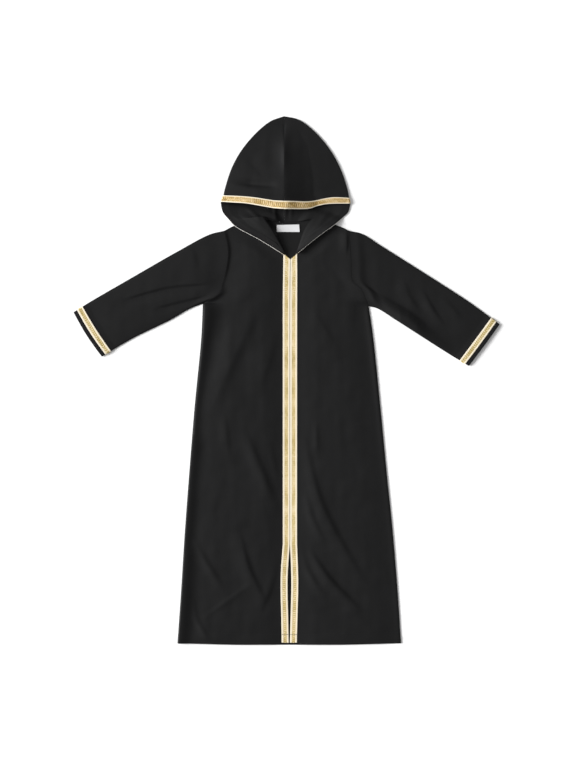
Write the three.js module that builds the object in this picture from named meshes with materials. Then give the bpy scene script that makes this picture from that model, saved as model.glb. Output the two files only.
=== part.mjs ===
// A child's hooded prayer abaya, laid flat on its back with the front up and the hood at the top.
// Millimetres, +Z up. Outlines are drawn from the hem's centre: x to the wearer's left, y towards the hood.
// The finished group is moved so that its origin is the bottom centre of the whole garment.
import * as THREE from "three";

// Driving dimensions of the cloth, the braid and the label.
const clothThickness = 1.2;
const braidThickness = 1.0;
const braidWidth = 14.6;
const hoodBraidWidth = 17.5;
const cuffStrip = 7;
const labelThickness = 1.0;
const labelWidth = 48;
const labelHeight = 15.4;

// Gaps that stand for stitched seams.
const layerGap = 0.3;
const backNeckGap = 0.8;
const sleeveGap = 0.8;
const hoodSeamGap = 0.6;

// Heights of the middle of each layer above the surface that the garment lies on.
const halfCloth = clothThickness / 2;
const backHeight = halfCloth;
const frontHeight = clothThickness + layerGap + halfCloth;
const onFrontHeight = 2 * (clothThickness + layerGap);
const braidLift = braidThickness + layerGap;
const labelMiddle = clothThickness + layerGap + labelThickness / 2;

// How the cloth rises and falls in its flat lie.
const foldRadius = 1.2;
const swellHeight = 1.1;
const mostRelief = 3.5;
const sleeveReliefShare = 0.75;
const hoodRise = 12;
const lapelLift = 2.2;
const sideFade = 26;
const centreFade = { from: 0.5 * braidWidth, to: 2.2 * braidWidth };
const shoulderRamp = { full: 8, none: 24 };
const narrowLapel = { full: 4, none: 12 };
const hoodTopFold = 12;
const braidCutRise = 9.5;
const braidCutSpread = 3;
const napeStrip = 20;

// How finely each outline is divided.
const slitRows = 7;
const bodyRows = 15;
const sideRows = slitRows + bodyRows;
const closedRows = 3;
const armholeRows = 8;
const neckRow = sideRows + closedRows;
const frontColumns = 14;
const braidColumns = 2;
const backSideRows = 10;
const shoulderColumns = 4;
const neckColumns = 4;
const sleeveStations = 16;
const hoodColumns = 9;
const underColumns = 9;
const hoodRows = 12;
const braidRows = 2;
const lapelRows = 9;
const turnedColumns = 3;
const foldPoints = 12;

// A point of an outline.
const at = (x, y) => ({ x, y });

// Outlines for each side of the wearer, from the hem upwards, or from the middle outwards.
const centreSeamX = -12;
const hoodTop = at(-12.6, 1110);
const nape = at(centreSeamX, 887);
const leftSide = {
  direction: 1,
  openEdge: [at(1.6, 1), at(2.3, 60), at(2.6, 113), at(0.4, 212)],
  closedEdge: [at(0.4, 212), at(0.4, 460), at(0.5, 712)],
  upperEdge: [at(0.5, 712), at(1.2, 810)],
  neckEdge: [at(1.2, 810), at(14.5, 828), at(19, 840), at(30, 872), at(48.3, 899)],
  hem: [at(1.6, 1), at(110, 0.5), at(233, 4)],
  sideSeam: [at(233, 4), at(226.5, 103), at(215.5, 238), at(202, 371), at(189, 506), at(174.5, 645), at(165, 712)],
  armhole: [at(165, 712), at(158, 728), at(149, 747), at(131, 765), at(127.5, 808), at(124, 869.5)],
  shoulder: [at(124, 869.5), at(111, 876.5), at(92.4, 883.5), at(48.3, 899)],
  sleeveTop: [at(124, 869.5), at(151, 863), at(191, 838), at(298, 770.5), at(376, 720), at(439.7, 673.3)],
  sleeveBottom: [at(165, 712), at(185, 706), at(223, 682), at(321, 619.5), at(375.3, 586.3)],
  hoodOutline: [hoodTop, at(19, 1102.5), at(52.5, 1077), at(84, 1039.5), at(105, 1001.7), at(119, 962), at(123.5, 941)],
  hoodCorner: [at(123.5, 941), at(126.5, 925)],
  braidEdge: [at(-12, 933), at(30, 933), at(78.8, 940), at(123.5, 941)],
  faceEdge: [at(-12, 915.6), at(47, 916), at(78.8, 924), at(126.5, 925)],
  faceTurn: [at(126.5, 925), at(122, 909), at(111, 898)],
  lapelEdge: [at(111, 898), at(95, 884), at(56, 855), at(17.5, 828.5)],
  neckSeam: [at(48.3, 899), at(30, 872), at(19, 840), at(15, 830.5)],
};
const rightSide = {
  direction: -1,
  openEdge: [at(-1.9, 1), at(-3.6, 60), at(-4.4, 113), at(-0.4, 212)],
  closedEdge: [at(-0.4, 212), at(-0.4, 460), at(-0.4, 712)],
  upperEdge: [at(-0.4, 712), at(0.2, 810)],
  neckEdge: [at(0.2, 810), at(-6.3, 819), at(-16, 838), at(-33, 878), at(-46.2, 899)],
  hem: [at(-1.9, 1), at(-115, 0.5), at(-236, 4)],
  sideSeam: [
    at(-236, 4), at(-229, 103), at(-220.5, 238), at(-210.5, 371), at(-199.5, 506), at(-186, 645), at(-182.7, 717),
  ],
  armhole: [
    at(-182.7, 717), at(-166, 727), at(-151, 738), at(-143, 757), at(-134, 792), at(-130.5, 829), at(-138.6, 869.5),
  ],
  shoulder: [at(-138.6, 869.5), at(-117.6, 880.5), at(-90, 889.5), at(-46.2, 899)],
  sleeveTop: [at(-138.6, 869.5), at(-168, 862), at(-237, 825.5), at(-332, 771), at(-420, 720), at(-454, 698.5)],
  sleeveBottom: [at(-182.7, 717), at(-210, 706.5), at(-252, 682.5), at(-330, 644.5), at(-395, 606)],
  hoodOutline: [
    hoodTop, at(-40, 1100), at(-69, 1077), at(-101, 1039.5), at(-122, 1001.7), at(-136, 959), at(-139.5, 943),
  ],
  hoodCorner: [at(-139.5, 943), at(-145.5, 927)],
  braidEdge: [at(-12, 933), at(-42, 933.5), at(-73.5, 942), at(-139.5, 943)],
  faceEdge: [at(-12, 915.6), at(-63, 917.5), at(-99.8, 925), at(-145.5, 927)],
  faceTurn: [at(-145.5, 927), at(-141, 909), at(-128, 893)],
  lapelEdge: [at(-128, 893), at(-115.5, 880), at(-62, 850), at(-10.5, 822.5)],
  neckSeam: [at(-46.2, 899), at(-33, 878), at(-16, 838), at(-7.5, 823.5)],
};
const labelCentre = at(-4, 875);

// The largest folds of the fronts and the sleeves' upper layers: three points along each, its half width and its
// height, with troughs negative.
const folds = [
  { from: at(-78, 700), through: at(-118, 620), to: at(-170, 508), width: 15, height: -2.4 },
  { from: at(-96, 690), through: at(-142, 604), to: at(-184, 530), width: 13, height: 2.2 },
  { from: at(-27, 660), through: at(-42, 612), to: at(-64, 545), width: 13, height: -1.6 },
  { from: at(-46, 668), through: at(-66, 606), to: at(-84, 552), width: 14, height: 1.8 },
  { from: at(-90, 430), through: at(-62, 372), to: at(-25, 286), width: 14, height: -1.8 },
  { from: at(-72, 446), through: at(-46, 392), to: at(-24, 350), width: 12, height: 1.6 },
  { from: at(-101, 212), through: at(-84, 158), to: at(-62, 104), width: 13, height: -1.6 },
  { from: at(-27, 174), through: at(-40, 130), to: at(-56, 92), width: 12, height: 1.7 },
  { from: at(-88, 122), through: at(-130, 94), to: at(-174, 62), width: 11, height: 1.9 },
  { from: at(-206, 228), through: at(-178, 184), to: at(-152, 136), width: 13, height: 1.7 },
  { from: at(-180, 450), through: at(-200, 250), to: at(-212, 30), width: 18, height: 1.5 },
  { from: at(-160, 724), through: at(-166, 668), to: at(-180, 600), width: 13, height: -1.8 },
  { from: at(30, 424), through: at(66, 312), to: at(112, 192), width: 16, height: -2.4 },
  { from: at(48, 440), through: at(88, 318), to: at(132, 206), width: 15, height: 2.3 },
  { from: at(53, 176), through: at(92, 126), to: at(138, 80), width: 12, height: -2.2 },
  { from: at(70, 184), through: at(108, 136), to: at(152, 98), width: 12, height: 2.1 },
  { from: at(31, 202), through: at(46, 152), to: at(62, 118), width: 12, height: 1.6 },
  { from: at(56, 690), through: at(72, 662), to: at(86, 638), width: 13, height: 1.5 },
  { from: at(150, 704), through: at(164, 600), to: at(178, 494), width: 14, height: 1.9 },
  { from: at(206, 300), through: at(210, 220), to: at(206, 130), width: 16, height: 1.4 },
  { from: at(-160, 760), through: at(-250, 748), to: at(-356, 724), width: 13, height: -2.2 },
  { from: at(-176, 782), through: at(-256, 770), to: at(-372, 738), width: 14, height: 2.2 },
  { from: at(-170, 738), through: at(-232, 722), to: at(-300, 712), width: 12, height: 1.7 },
  { from: at(160, 850), through: at(156, 800), to: at(162, 752), width: 13, height: -2.0 },
  { from: at(176, 742), through: at(250, 694), to: at(330, 624), width: 15, height: -2.6 },
  { from: at(188, 764), through: at(262, 716), to: at(336, 650), width: 14, height: 2.2 },
  { from: at(252, 750), through: at(264, 728), to: at(276, 704), width: 11, height: 1.6 },
  { from: at(290, 732), through: at(304, 708), to: at(318, 684), width: 11, height: 1.6 },
];

// The folds of the hood's upper layer.
const hoodFolds = [
  { from: at(-122, 988), through: at(-76, 976), to: at(-30, 960), width: 10, height: -2.2 },
  { from: at(16, 1094), through: at(44, 1026), to: at(52, 956), width: 10, height: 2.4 },
  { from: at(-30, 1088), through: at(-32, 1040), to: at(-30, 1000), width: 10, height: 1.8 },
];

const blackCrepe = new THREE.MeshStandardMaterial({ color: 0x1b1b1c, roughness: 0.82, metalness: 0 });
const goldBraid = new THREE.MeshStandardMaterial({ color: 0xd6c08a, roughness: 0.42, metalness: 0.35 });
const whiteLabel = new THREE.MeshStandardMaterial({ color: 0xf1f0ec, roughness: 0.7, metalness: 0 });

const mix = THREE.MathUtils.lerp;
const smooth = THREE.MathUtils.smoothstep;
const counted = (pieces) => Array.from({ length: pieces + 1 }, (unused, index) => index);

// A smooth curve through the points of one outline.
function curveThrough(points) {
  return new THREE.CatmullRomCurve3(points.map(({ x, y }) => new THREE.Vector3(x, y, 0)), false, "centripetal");
}

// The outline cut into equal lengths, as a list of points with both ends.
function divide(points, pieces) {
  return curveThrough(points).getSpacedPoints(pieces);
}

// Outlines joined end to end, each already divided, with the shared points kept once.
function joined(...runs) {
  return runs.flatMap((run, index) => (index === 0 ? run : run.slice(1)));
}

// A fold table with each fold as a short chain of points, worked out once.
function foldChains(table) {
  return table.map((fold) => ({ ...fold, chain: divide([fold.from, fold.through, fold.to], foldPoints) }));
}
const bodyChains = foldChains(folds);
const hoodChains = foldChains(hoodFolds);

// The height that the folds give at a point: a round ridge or trough that fades towards both of its ends.
function relief(chains, x, y) {
  return chains.reduce((height, fold) => {
    const distances = fold.chain.map((point) => Math.hypot(point.x - x, point.y - y));
    const nearest = Math.min(...distances);
    const along = (distances.indexOf(nearest) + 0.5) / (foldPoints + 1);
    return height + fold.height * Math.sqrt(Math.sin(Math.PI * along)) * Math.exp(-((nearest / fold.width) ** 2));
  }, 0);
}

// The height of an upper layer above its flat lie: an even swell with the folds on it, fading at the panel's edges.
function layerRise(x, y, fade) {
  return fade * THREE.MathUtils.clamp(swellHeight + relief(bodyChains, x, y), 0, mostRelief);
}

// A closed wall of cloth on a grid of middle points, for the cells that it covers. The wall runs from one distance
// to another along the directions of the panel's surface, so a braid is its panel's own points, moved out.
function clothWall(name, material, grid, options = {}) {
  const { from = -halfCloth, to = halfCloth, facing = 1, tube = false } = options;
  const { panelCovers = () => true, covers = () => true } = options;
  const columns = grid.length;
  const rows = grid[0].length;
  const cellColumns = tube ? columns : columns - 1;
  const onGrid = (i, j) => j >= 0 && j < rows - 1 && (tube || (i >= 0 && i < cellColumns));
  const inPanel = (i, j) => onGrid(i, j) && panelCovers((i + cellColumns) % cellColumns, j);
  const covered = (i, j) => inPanel(i, j) && covers((i + cellColumns) % cellColumns, j);

  // Each point's direction is the mean of the panel's cells round it.
  const directions = grid.map((column) => column.map(() => new THREE.Vector3()));
  const cells = [];
  for (let i = 0; i < cellColumns; i += 1) {
    for (let j = 0; j < rows - 1; j += 1) {
      if (!inPanel(i, j)) continue;
      const next = (i + 1) % columns;
      const corners = [[i, j], [next, j], [next, j + 1], [i, j + 1]];
      const [a, b, c, d] = corners.map(([column, row]) => grid[column][row]);
      const direction = c.clone().sub(a).cross(d.clone().sub(b)).normalize().multiplyScalar(facing);
      corners.forEach(([column, row]) => directions[column][row].add(direction));
      if (covered(i, j)) cells.push({ i, j, corners });
    }
  }

  const positions = [];
  const numbers = new Map();
  const vertex = (i, j, distance) => {
    const key = `${i},${j},${distance}`;
    if (!numbers.has(key)) {
      const point = directions[i][j].clone().normalize().multiplyScalar(distance).add(grid[i][j]);
      numbers.set(key, positions.length / 3);
      positions.push(point.x, point.y, point.z);
    }
    return numbers.get(key);
  };
  const triangles = [];
  const addTriangle = (a, b, c) => triangles.push(...(facing > 0 ? [a, b, c] : [a, c, b]));
  const addQuad = (a, b, c, d) => {
    addTriangle(a, b, c);
    addTriangle(a, c, d);
  };

  // Both faces of every cell, and a rim wherever the next cell has no cloth.
  for (const { i, j, corners } of cells) {
    const outer = corners.map(([column, row]) => vertex(column, row, to));
    const inner = corners.map(([column, row]) => vertex(column, row, from));
    addQuad(outer[0], outer[1], outer[2], outer[3]);
    addQuad(inner[3], inner[2], inner[1], inner[0]);
    const neighbours = [[i, j - 1], [i + 1, j], [i, j + 1], [i - 1, j]];
    neighbours.forEach(([column, row], edge) => {
      if (covered(column, row)) return;
      const far = (edge + 1) % 4;
      addQuad(outer[far], outer[edge], inner[edge], inner[far]);
    });
  }
  const geometry = new THREE.BufferGeometry();
  geometry.setAttribute("position", new THREE.Float32BufferAttribute(positions, 3));
  geometry.setIndex(triangles);
  geometry.computeVertexNormals();
  const mesh = new THREE.Mesh(geometry, material);
  mesh.name = name;
  return mesh;
}

// A front panel's rows run from its inner edge (slit, centre front, neck) to its outer edge (side seam, armhole).
function frontEdges(side) {
  const inner = joined(
    divide(side.openEdge, slitRows),
    divide(side.closedEdge, bodyRows),
    divide(side.upperEdge, closedRows),
    divide(side.neckEdge, armholeRows - closedRows),
  );
  const outer = joined(divide(side.sideSeam, sideRows), divide(side.armhole, armholeRows));
  return { inner, outer };
}

// A front panel's middle points. Near the top of the centre front its rows lean, so that the braid ends on a slant.
function frontGrid(side) {
  const { inner, outer } = frontEdges(side);
  return counted(frontColumns).map((i) => inner.map((start, j) => {
    const end = outer[j];
    const width = start.distanceTo(end);
    const onBraid = i <= braidColumns;
    const beyond = (i - braidColumns) / (frontColumns - braidColumns);
    const reach = onBraid ? (braidWidth * i) / braidColumns : mix(braidWidth, width, beyond);
    const point = start.clone().lerp(end, reach / width);
    const lean = Math.max(0, 1 - Math.abs(j - neckRow) / braidCutSpread);
    point.y += braidCutRise * lean * (onBraid ? i / braidColumns : 1 - beyond);
    if (j === 0) point.y = mix(start.y, end.y, (reach / width) ** 2);
    const fromSide = smooth(width - reach, 0, sideFade);
    const fromCentre = smooth(reach, centreFade.from, centreFade.to);
    const fromShoulder = 1 - smooth(j, neckRow - 1, neckRow + 2);
    point.z = frontHeight + layerRise(point.x, point.y, fromSide * fromCentre * fromShoulder);
    return point;
  }));
}

// The seam between the hood and the back neck, from the nape to the shoulder's inner end.
function backNeckSeam(side) {
  const corner = side.neckSeam[0];
  return divide([nape, at(mix(nape.x, corner.x, 0.55), nape.y + 3), corner], neckColumns);
}

// The back panel's middle points, flat on the surface, blended between its four outlines.
function backGrid() {
  const halfColumns = shoulderColumns + neckColumns;
  const bottom = joined(divide(rightSide.hem, halfColumns).reverse(), divide(leftSide.hem, halfColumns));
  const top = joined(
    divide(rightSide.shoulder, shoulderColumns),
    backNeckSeam(rightSide).reverse(),
    backNeckSeam(leftSide),
    divide(leftSide.shoulder, shoulderColumns).reverse(),
  );
  const columns = top.length - 1;
  const onNeck = top.slice(shoulderColumns + 1, columns - shoulderColumns);
  onNeck.forEach((point) => point.setY(point.y - backNeckGap));
  const [near, far] = [rightSide, leftSide].map((side) =>
    joined(divide(side.sideSeam, backSideRows), divide(side.armhole, armholeRows)));
  const rows = near.length - 1;
  return top.map((high, i) => near.map((start, j) => {
    const across = i / columns;
    const up = j / rows;
    const blend = (axis) => {
      const lengthwise = mix(bottom[i][axis], high[axis], up);
      const crosswise = mix(start[axis], far[j][axis], across);
      const lowCorners = mix(bottom[0][axis], bottom[columns][axis], across);
      const highCorners = mix(top[0][axis], top[columns][axis], across);
      return lengthwise + crosswise - mix(lowCorners, highCorners, up);
    };
    return new THREE.Vector3(blend("x"), blend("y"), backHeight);
  }));
}

// The sleeve's stations as shares of its length: even along the arm, then one on each edge of the cuff's braid.
const cuffStations = 4;
const cuffRamp = 12;
const firstCuffRow = sleeveStations - cuffStations;
function stationShares(length) {
  const braidEnd = 1 - cuffStrip / length;
  const braidStart = braidEnd - braidWidth / length;
  const rampStart = braidStart - cuffRamp / length;
  const even = counted(firstCuffRow - 1).map((k) => (rampStart * k) / (firstCuffRow - 1));
  return [...even, braidStart, (braidStart + braidEnd) / 2, braidEnd, 1];
}

// The sleeve in plan: a line of points across it at each station, bowed like the armhole where it begins there.
function sleeveLines(side) {
  const armhole = divide(side.armhole, armholeRows).reverse();
  const topCurve = curveThrough(side.sleeveTop);
  const bottomCurve = curveThrough(side.sleeveBottom);
  const shares = stationShares((topCurve.getLength() + bottomCurve.getLength()) / 2);
  return shares.map((share) => {
    const high = topCurve.getPointAt(share);
    const low = bottomCurve.getPointAt(share);
    return armhole.map((seamPoint, t) => {
      const across = t / armholeRows;
      const bow = seamPoint.clone().sub(armhole[0].clone().lerp(armhole[armholeRows], across));
      const along = armhole[Math.min(t + 1, armholeRows)].clone().sub(armhole[Math.max(t - 1, 0)]).normalize();
      const awayFromBody = new THREE.Vector3(-along.y, along.x, 0).multiplyScalar(side.direction);
      return high.clone().lerp(low, across)
        .addScaledVector(bow, (1 - share) ** 2)
        .addScaledVector(awayFromBody, sleeveGap * (1 - share));
    });
  });
}

// A sleeve's middle points as a flat tube: round each station they run down the upper layer, round the underarm
// fold and back up the lower layer. The cuff lies a little higher, on the braid that goes round under it.
function sleeveTube(side) {
  const columns = 2 * armholeRows + 4;
  const grid = Array.from({ length: columns }, () => []);
  sleeveLines(side).forEach((line, j) => {
    const height = backHeight + (j >= firstCuffRow ? braidLift : 0);
    const high = line[0];
    const low = line[armholeRows];
    const across = low.clone().sub(high).normalize();
    const nearSeam = mix(0.35, 1, smooth(j, 0, 2));
    const nearCuff = mix(1, 0.3, smooth(j, firstCuffRow - 2, firstCuffRow));
    line.forEach((point, t) => {
      const inset = t === 0 ? foldRadius : t === armholeRows ? -foldRadius : 0;
      const lower = point.clone().addScaledVector(across, inset).setZ(height);
      const fade = Math.sin((Math.PI * t) / armholeRows) ** 0.6 * nearSeam * nearCuff;
      const rise = sleeveReliefShare * layerRise(lower.x, lower.y, fade);
      grid[1 + t].push(lower.clone().setZ(height + 2 * foldRadius + rise));
      grid[columns - 1 - t].push(lower);
    });
    grid[0].push(high.clone().setZ(height + foldRadius));
    grid[armholeRows + 2].push(low.clone().setZ(height + foldRadius));
  });
  return grid;
}

// How far a point in plan lies outside a closed outline, or 0 inside it.
function distanceOutside(x, y, outline) {
  let inside = false;
  let nearest = Infinity;
  outline.forEach((a, index) => {
    const b = outline[(index + 1) % outline.length];
    if ((a.y > y) !== (b.y > y) && x < ((b.x - a.x) * (y - a.y)) / (b.y - a.y) + a.x) inside = !inside;
    const run = (b.x - a.x) ** 2 + (b.y - a.y) ** 2;
    const dot = (x - a.x) * (b.x - a.x) + (y - a.y) * (b.y - a.y);
    const share = run > 0 ? THREE.MathUtils.clamp(dot / run, 0, 1) : 0;
    nearest = Math.min(nearest, Math.hypot(mix(a.x, b.x, share) - x, mix(a.y, b.y, share) - y));
  });
  return inside ? 0 : nearest;
}

// One half of the hood is a single sheet: over the head from the centre seam to the outer fold, round the fold, and
// back below to the centre seam, the back neck and the front neck. Past the face edge only the lower part goes on,
// as the lapel.
const faceRow = hoodRows + braidRows;
const neckCornerRow = faceRow + neckColumns;
const lastRow = neckCornerRow + lapelRows;
const foldColumn = hoodColumns + 1;

// The hood's outer line (its outline, then the turned face edge) and its inner lines above and below.
function hoodEdges(side) {
  const seamX = centreSeamX + (hoodSeamGap / 2) * side.direction;
  const seamRun = (highest, lowest, pieces) =>
    counted(pieces).map((k) => new THREE.Vector3(seamX, mix(highest, lowest, k / pieces), 0));
  const outline = divide(side.hoodOutline, hoodRows);
  outline[0].x = seamX;
  const backNeck = backNeckSeam(side);
  backNeck[0].x = seamX;
  const firstY = hoodTop.y - hoodTopFold;
  return {
    seamX,
    outer: joined(
      outline,
      divide(side.hoodCorner, braidRows),
      divide(side.faceTurn, neckColumns),
      divide(side.lapelEdge, lapelRows),
    ),
    upperInner: seamRun(firstY, side.braidEdge[0].y, hoodRows),
    lowerInner: joined(
      seamRun(firstY, nape.y + napeStrip, hoodRows),
      seamRun(nape.y + napeStrip, nape.y, braidRows),
      backNeck,
      divide(side.neckSeam, lapelRows),
    ),
  };
}

// One column of the hood's upper layer, domed towards the centre seam and raised by the braid's rows at the face.
function upperHoodColumn(side, edges, i) {
  const across = i / hoodColumns;
  const braidLine = divide(side.braidEdge, hoodColumns);
  const faceLine = divide(side.faceEdge, hoodColumns);
  const bend = braidLine[i].clone().sub(braidLine[0].clone().lerp(braidLine[hoodColumns], across));
  return edges.outer.map((edge, row) => {
    const j = Math.min(row, faceRow);
    const point = j <= hoodRows
      ? edges.upperInner[j].clone().lerp(edge, across).addScaledVector(bend, (j / hoodRows) ** 3)
      : braidLine[i].clone().lerp(faceLine[i], (j - hoodRows) / braidRows);
    if (i === 0) point.x = edges.seamX;
    const rise = hoodRise * smooth(j, 0, faceRow) * (1 - across ** 2);
    const fade = Math.min(1, 2.5 * (1 - across)) * Math.min(1, j / 3);
    const height = backHeight + (j >= hoodRows ? braidLift : 0) + 2 * foldRadius;
    return point.setZ(height + rise + fade * relief(hoodChains, point.x, point.y));
  });
}

// One column of the hood's fold and lower layer, from the outline inwards. It lies on the surface, climbs onto the
// shoulders of the fronts, and lies higher where the braid is turned under its edge.
function lowerHoodColumn(edges, frontOutline, i) {
  return edges.outer.map((start, j) => {
    const end = edges.lowerInner[j];
    const width = start.distanceTo(end);
    const braidReach = Math.min(hoodBraidWidth, 0.62 * width);
    const isFold = j <= faceRow && i <= 1;
    let reach = mix(braidReach, width, (i - turnedColumns) / (underColumns - turnedColumns));
    if (i <= turnedColumns) reach = (braidReach * Math.max(i, 0)) / turnedColumns;
    if (isFold) reach = i === 0 ? 0 : foldRadius;
    const point = start.clone().lerp(end, reach / width);
    if (j <= hoodRows && i === underColumns) point.x = edges.seamX;
    const outside = distanceOutside(point.x, point.y, frontOutline);
    const onFront = 1 - smooth(outside, shoulderRamp.full, shoulderRamp.none);
    const pastCorner = smooth(j, neckCornerRow, neckCornerRow + 3);
    const edgeLift = lapelLift * pastCorner * (1 - reach / width);
    const narrow = 1 - smooth(width - braidReach, narrowLapel.full, narrowLapel.none);
    const overBraid = j >= hoodRows ? (i <= turnedColumns ? 1 : narrow) : 0;
    const turn = isFold ? foldRadius * (1 - i) : 0;
    return point.setZ(backHeight + onFrontHeight * onFront + edgeLift + braidLift * overBraid + turn);
  });
}

// All of one hood half's middle points: the upper columns from the centre seam out, then the fold and the lower ones.
function hoodGrid(side) {
  const edges = hoodEdges(side);
  const { inner, outer } = frontEdges(side);
  const frontOutline = [...inner, ...outer.reverse()];
  const upper = counted(hoodColumns - 1).map((i) => upperHoodColumn(side, edges, i));
  const lower = counted(underColumns + 1).map((k) => lowerHoodColumn(edges, frontOutline, k - 1));
  return [...upper, ...lower];
}

// Whether a cell of one hood half has cloth: there is no upper layer past the face edge.
function hoodCovers(i, j) {
  return i >= foldColumn || j < faceRow;
}

// Whether a cell of one hood half carries the braid: along the face edge above, then along the turned edge below.
function hoodBraidCovers(i, j) {
  return j >= hoodRows && (i < foldColumn ? j < faceRow : i < foldColumn + turnedColumns);
}

// The blank label's middle points, on the inside of the back just below the neck seam.
function labelGrid() {
  const columns = 6;
  const rows = 2;
  return counted(columns).map((i) => counted(rows).map((j) => new THREE.Vector3(
    labelCentre.x + labelWidth * (i / columns - 0.5),
    labelCentre.y + labelHeight * (j / rows - 0.5),
    labelMiddle,
  )));
}

const garment = new THREE.Group();
const onCloth = { from: halfCloth + layerGap, to: halfCloth + layerGap + braidThickness };
garment.add(clothWall("back", blackCrepe, backGrid()));
for (const [name, side] of [["left", leftSide], ["right", rightSide]]) {
  const facing = side.direction;
  const front = frontGrid(side);
  const sleeve = sleeveTube(side);
  const onFront = { ...onCloth, facing, covers: (i, j) => i < braidColumns && j < neckRow };
  const onCuff = {
    ...onCloth, facing, tube: true, covers: (i, j) => j >= firstCuffRow && j < sleeveStations - 2,
  };
  garment.add(clothWall(`front_${name}`, blackCrepe, front, { facing }));
  garment.add(clothWall(`trim_front_${name}`, goldBraid, front, onFront));
  garment.add(clothWall(`sleeve_${name}`, blackCrepe, sleeve, { facing, tube: true }));
  garment.add(clothWall(`trim_cuff_${name}`, goldBraid, sleeve, onCuff));
}

// The two halves of the hood, and the one length of braid that goes across both of them.
const hoodHalves = { left: hoodGrid(leftSide), right: hoodGrid(rightSide) };
const half = { facing: -1, panelCovers: hoodCovers };
garment.add(clothWall("hood_left", blackCrepe, hoodHalves.left, half));
garment.add(clothWall("hood_right", blackCrepe, hoodHalves.right, { ...half, facing: 1 }));
const bothHalves = [...hoodHalves.right.toReversed(), ...hoodHalves.left];
const middleCell = hoodHalves.right.length - 1;
const onBoth = (covers) => (i, j) => {
  if (i === middleCell) return j >= hoodRows && j < faceRow;
  return i < middleCell ? covers(middleCell - 1 - i, j) : covers(i - middleCell - 1, j);
};
garment.add(clothWall("trim_hood", goldBraid, bothHalves, {
  ...onCloth, facing: -1, panelCovers: onBoth(hoodCovers), covers: onBoth(hoodBraidCovers),
}));
garment.add(clothWall("label", whiteLabel, labelGrid(), { from: -labelThickness / 2, to: labelThickness / 2 }));

// The origin is the bottom centre of the whole garment.
const box = new THREE.Box3().setFromObject(garment);
const centre = box.getCenter(new THREE.Vector3());
garment.position.set(-centre.x, -centre.y, -box.min.z);

export default garment;
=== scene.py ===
import math

import bpy
import numpy as np
from bpy.props import FloatProperty, FloatVectorProperty, PointerProperty
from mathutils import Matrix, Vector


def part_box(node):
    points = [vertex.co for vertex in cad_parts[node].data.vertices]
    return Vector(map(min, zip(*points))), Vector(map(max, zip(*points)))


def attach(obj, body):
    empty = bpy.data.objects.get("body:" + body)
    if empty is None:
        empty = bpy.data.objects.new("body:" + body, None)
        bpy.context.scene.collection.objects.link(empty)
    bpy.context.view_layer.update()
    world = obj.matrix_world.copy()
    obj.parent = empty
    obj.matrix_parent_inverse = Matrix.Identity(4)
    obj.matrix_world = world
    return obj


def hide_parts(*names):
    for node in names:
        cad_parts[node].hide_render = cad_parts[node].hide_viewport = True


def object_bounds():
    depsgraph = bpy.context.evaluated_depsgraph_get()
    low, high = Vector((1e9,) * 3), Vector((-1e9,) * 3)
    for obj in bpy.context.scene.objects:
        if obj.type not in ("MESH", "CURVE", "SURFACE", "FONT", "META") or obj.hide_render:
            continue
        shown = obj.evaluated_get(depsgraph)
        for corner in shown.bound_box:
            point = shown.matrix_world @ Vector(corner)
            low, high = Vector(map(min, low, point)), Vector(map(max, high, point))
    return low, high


bl_info = {
    "name": "Hooded prayer abaya",
    "version": (1, 0, 0),
    "blender": (4, 5, 0),
    "location": "3D View > Sidebar > Abaya",
    "description": "Dresses the packed model of a child's hooded abaya in crepe and woven braid",
    "category": "Object",
}

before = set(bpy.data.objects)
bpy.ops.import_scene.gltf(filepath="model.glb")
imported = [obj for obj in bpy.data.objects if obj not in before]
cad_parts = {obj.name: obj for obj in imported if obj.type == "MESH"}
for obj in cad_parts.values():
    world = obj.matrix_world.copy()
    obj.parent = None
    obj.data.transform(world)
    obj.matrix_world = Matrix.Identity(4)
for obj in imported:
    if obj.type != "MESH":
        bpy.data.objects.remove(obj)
cad_low, cad_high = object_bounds()

# Shapes are drawn in millimetres from the middle of the hem, as the model is. The front's inner edge and
# the back's hem say where that drawing lies in the frame.
MM = 0.001
inner_edge_x = 0.4
back_hem_y = -0.2
drawing_origin = np.array([
    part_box("front_left")[0].x / MM - inner_edge_x,
    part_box("back")[0].y / MM - back_hem_y,
    0.0,
])

# Heights of the middle of each layer, and the room between layers.
back_height = 0.6
front_height = 2.1
on_front_height = 3.0
label_height = 2.0
braid_lift = 1.3
fold_radius = 1.2
seam_radius = 0.45
stitch_gap = 0.2
seam_lap = 2.5
neck_lap = 2.0
neck_lap_height = 0.8

# The braids' sizes, the slant of their upper ends and their start above the hem.
braid_width = 14.6
hood_braid_width = 17.5
cuff_braid_width = 13.8
braid_thickness = 1.0
woven_share = 0.7
braid_cut = 16.7
braid_hem = 4.4

# The shares of a braid's width that the cords along either edge take, and the size of its cords and
# arrowheads.
front_cords = 0.24
thin_cords = 0.13
cord_height = 0.32
arrow_height = 0.16
arrow_pitch = 4.2
arrow_slant = 13.0
lapel_cord = 1.1
cord_rows = (0.7, 0.5)
edge_samples = 400

# A braid's own grid, and the shares of its width where it is stitched.
braid_lines = 15
braid_step = 0.95
stitched_places = (0.07, 0.93)

# Where the upper and the lower edge of the braid across the face lie in its band, at places along it.
face_braid_places = (0, 0.12, 0.3, 0.5, 0.75, 0.88, 1)
face_braid_top = (0, 0, 0, 0, 0, 0, 0.15)
face_braid_foot = (0.8, 0.93, 1, 1, 1, 1, 0.88)

# The hem's line of stitches, over the braid and beyond it.
hem_line = 22.5
braid_stitch_height = 1.5
braid_hem_stitch = {"length": 3.0, "pitch": 3.6, "thickness": 1.1}
hem_stitch = {"thickness": 0.3}
stitch_angles = (25, 60, 90, 120, 155)
stitch_sides = 6

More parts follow.
